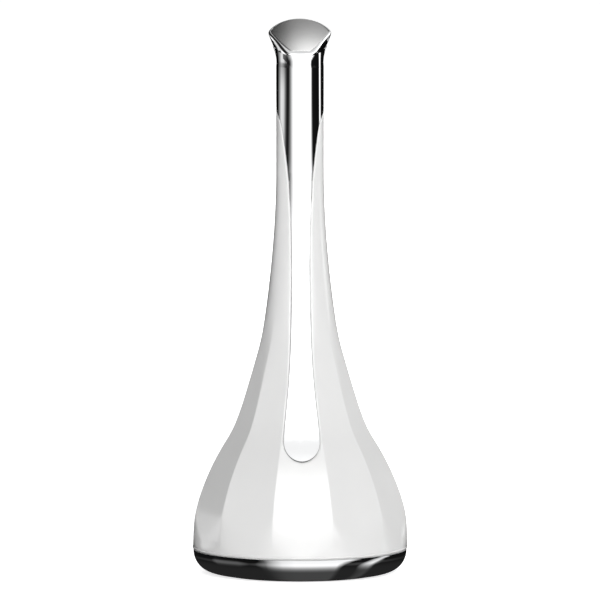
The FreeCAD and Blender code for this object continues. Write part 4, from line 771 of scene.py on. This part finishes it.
# Brightness of the reflecting card on the floor, by the same angle as it shows in the base: near
# the base, and further out. Reaches are metres from the axis.
FLOOR_STOPS = [(-180, 0.02), (-124, 0.03), (-114, 0.11), (-76, 0.1), (-62, 0.03), (-54, 0.04),
               (-42, 0.2), (-32, 0.6), (-22, 0.95), (-8, 1.1), (55, 1.1), (64, 0.45),
               (71, 0.04), (91, 0.05), (101, 0.7), (110, 0.95), (118, 0.12), (126, 0.03),
               (180, 0.02)]
FAR_STOPS = [(-180, 0.0), (-139, 0.0), (-134, 1.3), (-114, 1.3), (-106, 0.12), (-80, 0.04),
             (-57, 0.015), (-48, 0.31), (-33, 0.92), (-22, 1.0), (40, 1.0), (46, 0.008),
             (137, 0.006), (140, 0.9), (144, 0.9), (147, 0.006), (180, 0.0)]
BASE_R = 26.5 * MM
CARD_Z = 0.0002
CARD_RINGS = (0.019, 0.1, SCREEN_R)
CARD_STEPS = 96
# bands to the right of these angles slant by up to this angle between these reaches
SLANT_ANGLES = (20.0, 50.0)
SLANT = 25.0
SLANT_REACH = (0.030, 0.055)
# tones sink close to the base, a painted shade of the floor by the foot as the plating mirrors
# it, and right under the seam, but not below the darkest one
CLOSE_SHADE_REACH = (0.0290, 0.0335)
CLOSE_SHADE_SINK = 0.10
SEAM_REACH = (0.037, 0.046)
SEAM_SINK = 0.10
DARKEST = 0.006
# tones at the foot, a dark ring of painted shade where the floor lies in the base's shade, as a
# share of the near ones and an even part, and where each gives way
FOOT_SHADE_SHARE = 0.04
FOOT_SHADE_TONE = 0.018
FOOT_SHADE_REACH = (0.0262, 0.0354)
FAR_REACH = (0.101, 0.158)

# Card above the head: brightness from front to back, and from left to right behind the front
CANOPY_DEPTH = [(-0.50, 1.3), (-0.44, 1.15), (-0.38, 1.0), (-0.28, 0.87), (-0.12, 1.7),
                (0.0, 1.7), (0.04, 1.15), (0.11, 0.66), (0.20, 0.42), (0.60, 0.36)]
CANOPY_SIDE = [(-0.50, 0.01), (-0.14, 0.01), (-0.06, 0.12), (0.0, 1.0), (0.06, 1.15),
               (0.14, 0.9), (0.24, 1.8), (0.50, 2.2)]
CANOPY_FRONT = (-0.25, -0.12)
CANOPY_Z = 0.52

FLOOR_REACH = 4.0
FLOOR_TONE = 0.9
FLOOR_ROUGH = 0.9
FLOOR_WHITE = 0.78
FILL = 0.18
# name, angle from the front, elevation, distance, size, power, seen in the plating or not
LAMPS = [("key", 3, 25, 1.2, 0.7, 11.0, True), ("side", 126, 12, 1.2, 0.5, 7.5, False),
         ("back", 184, 25, 1.2, 0.7, 6.0, False)]


def link_stage(name, mesh, material):
    data = bpy.data.meshes.new(name)
    mesh.to_mesh(data)
    mesh.free()
    data.materials.append(material)
    card = bpy.data.objects.new(name, data)
    bpy.context.scene.collection.objects.link(card)
    return card


def reflected_stage(name, mesh, material):
    """A studio card that is seen in the plating alone and lights nothing."""
    card = link_stage(name, mesh, material)
    card.visible_camera = False
    card.visible_diffuse = False
    card.visible_shadow = False
    card.visible_transmission = False


def ramp(tree, value, stops):
    """A grey scale by a value from 0 to 1 that stands for the span of the stops, which are
    (place, grey)."""
    low, high = stops[0][0], stops[-1][0]
    node = add(tree, "ValToRGB")
    elements = node.color_ramp.elements
    while len(elements) < len(stops):
        elements.new(0.5)
    for element, (place, grey) in zip(elements, stops):
        element.position = (place - low) / (high - low)
        element.color = (grey, grey, grey, 1.0)
    feed(tree, value, node.inputs["Fac"])
    return node.outputs["Color"]


def mixed(tree, share, first, second, blend="MIX"):
    """Two colours, mixed by a share of the second."""
    node = add(tree, "Mix", data_type="RGBA", blend_type=blend)
    feed(tree, share, node.inputs["Factor"])
    feed(tree, first, node.inputs["A"])
    feed(tree, second, node.inputs["B"])
    return node.outputs["Result"]


def angle_value(tree, axes):
    """Angle from the front round the wand, where 0 to 1 is the whole turn from the back."""
    front = calc(tree, "MULTIPLY", axes["Y"], -1.0)
    return mapped(tree, calc(tree, "ARCTAN2", axes["X"], front), -math.pi, math.pi)


def glow_material(name):
    material = bpy.data.materials.new(name)
    material.use_nodes = True
    tree = material.node_tree
    tree.nodes.clear()
    light = add(tree, "Emission")
    out = add(tree, "OutputMaterial")
    feed(tree, light.outputs["Emission"], out.inputs["Surface"])
    return material, tree, light


def revolved(rings):
    """A surface turned round the axis through rings of (radius, height)."""
    mesh = bmesh.new()
    turns = [2 * math.pi * step / CARD_STEPS for step in range(CARD_STEPS + 1)]
    stitch(mesh, [[(r * math.sin(a), -r * math.cos(a), z) for a in turns] for r, z in rings])
    bmesh.ops.remove_doubles(mesh, verts=mesh.verts, dist=MERGE)
    return mesh


def make_screen():
    """Screen round the wand that gives the plating its bright and dark bands."""
    material, tree, light = glow_material("ScreenTones")
    axes = place_axes(tree)
    angle = angle_value(tree, axes)
    tone = ramp(tree, angle, LOW_STOPS)
    for foot, top, stops in SCREEN_ZONES:
        share = between(tree, axes["Z"], foot, top)
        tone = mixed(tree, share, tone, ramp(tree, angle, stops))
    feed(tree, tone, light.inputs["Color"])
    fade = between(tree, axes["Z"], *SCREEN_FADE)
    feed(tree, calc(tree, "MULTIPLY_ADD", fade, -FADE_SHARE, 1.0), light.inputs["Strength"])
    rings = [(SCREEN_R, SCREEN_FOOT), (SCREEN_R, SCREEN_TOP)]
    reflected_stage("screen", revolved(rings), material)


def make_floor_card():
    """Card round the foot that gives the base its bands, with painted shade close to the base's
    foot.
    """
    material, tree, light = glow_material("FloorCardTones")
    axes = place_axes(tree)
    flat = add(tree, "CombineXYZ")
    feed(tree, axes["X"], flat.inputs["X"])
    feed(tree, axes["Y"], flat.inputs["Y"])
    length = add(tree, "VectorMath", operation="LENGTH")
    feed(tree, flat.outputs["Vector"], length.inputs[0])
    reach = length.outputs["Value"]
    # the base turns a ray by twice its own angle: 2 / (2 - base radius / reach)
    stretch = calc(tree, "DIVIDE", 2.0,
                   calc(tree, "SUBTRACT", 2.0, calc(tree, "DIVIDE", BASE_R, reach)))
    from_front = calc(tree, "SUBTRACT", angle_value(tree, axes), 0.5)
    turned = calc(tree, "MULTIPLY", from_front, stretch)
    slant = mapped(tree, reach, *SLANT_REACH, SLANT / 360.0, 0.0)
    right = between(tree, turned, *(angle / 360.0 for angle in SLANT_ANGLES))
    slide = calc(tree, "MULTIPLY", slant, right)
    seen_at = calc(tree, "ADD", calc(tree, "ADD", turned, slide), 0.5)
    # painted shade: tones darken close to the base, for the floor's shade by the foot as the
    # plating mirrors it
    close = mapped(tree, reach, *CLOSE_SHADE_REACH, CLOSE_SHADE_SINK, 0.0)
    seam = calc(tree, "MULTIPLY", between(tree, reach, *SEAM_REACH), SEAM_SINK)
    sunk = calc(tree, "SUBTRACT", ramp(tree, seen_at, FLOOR_STOPS), close)
    sunk = calc(tree, "MAXIMUM", calc(tree, "SUBTRACT", sunk, seam), DARKEST)
    tone = mixed(tree, between(tree, reach, *FAR_REACH), sunk, ramp(tree, seen_at, FAR_STOPS))
    # painted shade: the card goes dark round the foot, where the floor lies in the base's shade,
    # and the base's lower edge mirrors it
    foot = calc(tree, "MULTIPLY_ADD", sunk, FOOT_SHADE_SHARE, FOOT_SHADE_TONE)
    tone = mixed(tree, between(tree, reach, *FOOT_SHADE_REACH), foot, tone)
    feed(tree, tone, light.inputs["Color"])
    reflected_stage("floor_card", revolved([(ring, CARD_Z) for ring in CARD_RINGS]), material)


def make_canopy():
    """Card above the head that gives the satin plate its soft grey fall."""
    material, tree, light = glow_material("CanopyTones")
    axes = place_axes(tree)
    front, back = CANOPY_DEPTH[0][0], CANOPY_DEPTH[-1][0]
    left, right = CANOPY_SIDE[0][0], CANOPY_SIDE[-1][0]
    depth = ramp(tree, mapped(tree, axes["Y"], front, back), CANOPY_DEPTH)
    side = ramp(tree, mapped(tree, axes["X"], left, right), CANOPY_SIDE)
    share = between(tree, axes["Y"], *CANOPY_FRONT)
    feed(tree, mixed(tree, share, depth, side, "MULTIPLY"), light.inputs["Color"])
    mesh = bmesh.new()
    stitch(mesh, [[(left, y, CANOPY_Z), (right, y, CANOPY_Z)] for y in (front, back)])
    reflected_stage("canopy", mesh, material)


def add_lamp(name, azimuth, elevation, distance, size, power, mirrored):
    """A square soft lamp aimed at the middle of the wand; azimuth 0 is the front."""
    data = bpy.data.lights.new(name, "AREA")
    data.shape = "SQUARE"
    data.size = size
    data.energy = power
    lamp = bpy.data.objects.new(name, data)
    bpy.context.scene.collection.objects.link(lamp)
    a = math.radians(azimuth)
    e = math.radians(elevation)
    way = Vector((math.sin(a) * math.cos(e), -math.cos(a) * math.cos(e), math.sin(e)))
    lamp.location = way * distance + Vector((0, 0, VIEW_HEIGHT))
    lamp.rotation_euler = way.to_track_quat("Z", "Y").to_euler()
    lamp.visible_glossy = mirrored


def set_world():
    """White surroundings for the camera and the plating, a quieter fill for everything else."""
    world = bpy.data.worlds.new("studio")
    world.use_nodes = True
    bpy.context.scene.world = world
    tree = world.node_tree
    tree.nodes.clear()
    path = add(tree, "LightPath")
    seen = calc(tree, "MAXIMUM", path.outputs["Is Camera Ray"], path.outputs["Is Glossy Ray"])
    sky = add(tree, "Background")
    feed(tree, mapped(tree, seen, 0.0, 1.0, FILL, 1.0), sky.inputs["Strength"])
    sky.inputs["Color"].default_value = (1.0, 1.0, 1.0, 1.0)
    out = add(tree, "OutputWorld")
    feed(tree, sky.outputs["Background"], out.inputs["Surface"])


def make_floor():
    """Pale floor that shows white and keeps the wand's soft shadow."""
    material, tree, shader = new_material("PaleFloor")
    shader.inputs["Base Color"].default_value = (FLOOR_TONE, FLOOR_TONE, FLOOR_TONE, 1.0)
    shader.inputs["Roughness"].default_value = FLOOR_ROUGH
    shader.inputs["Emission Color"].default_value = (1.0, 1.0, 1.0, 1.0)
    path = add(tree, "LightPath")
    feed(tree, calc(tree, "MULTIPLY", path.outputs["Is Camera Ray"], FLOOR_WHITE),
         shader.inputs["Emission Strength"])
    mesh = bmesh.new()
    stitch(mesh, [[(-FLOOR_REACH, y, 0.0), (FLOOR_REACH, y, 0.0)]
                  for y in (-FLOOR_REACH, FLOOR_REACH)])
    link_stage("floor", mesh, material)


def set_studio():
    set_world()
    make_floor()
    make_screen()
    make_floor_card()
    make_canopy()
    for lamp in LAMPS:
        add_lamp(*lamp)


# ---------------------------------------------------------------- build

set_camera()
dress_nodes()
make_shell()
make_head()
make_plate()
set_studio()
bpy.context.scene.view_settings.view_transform = "Standard"
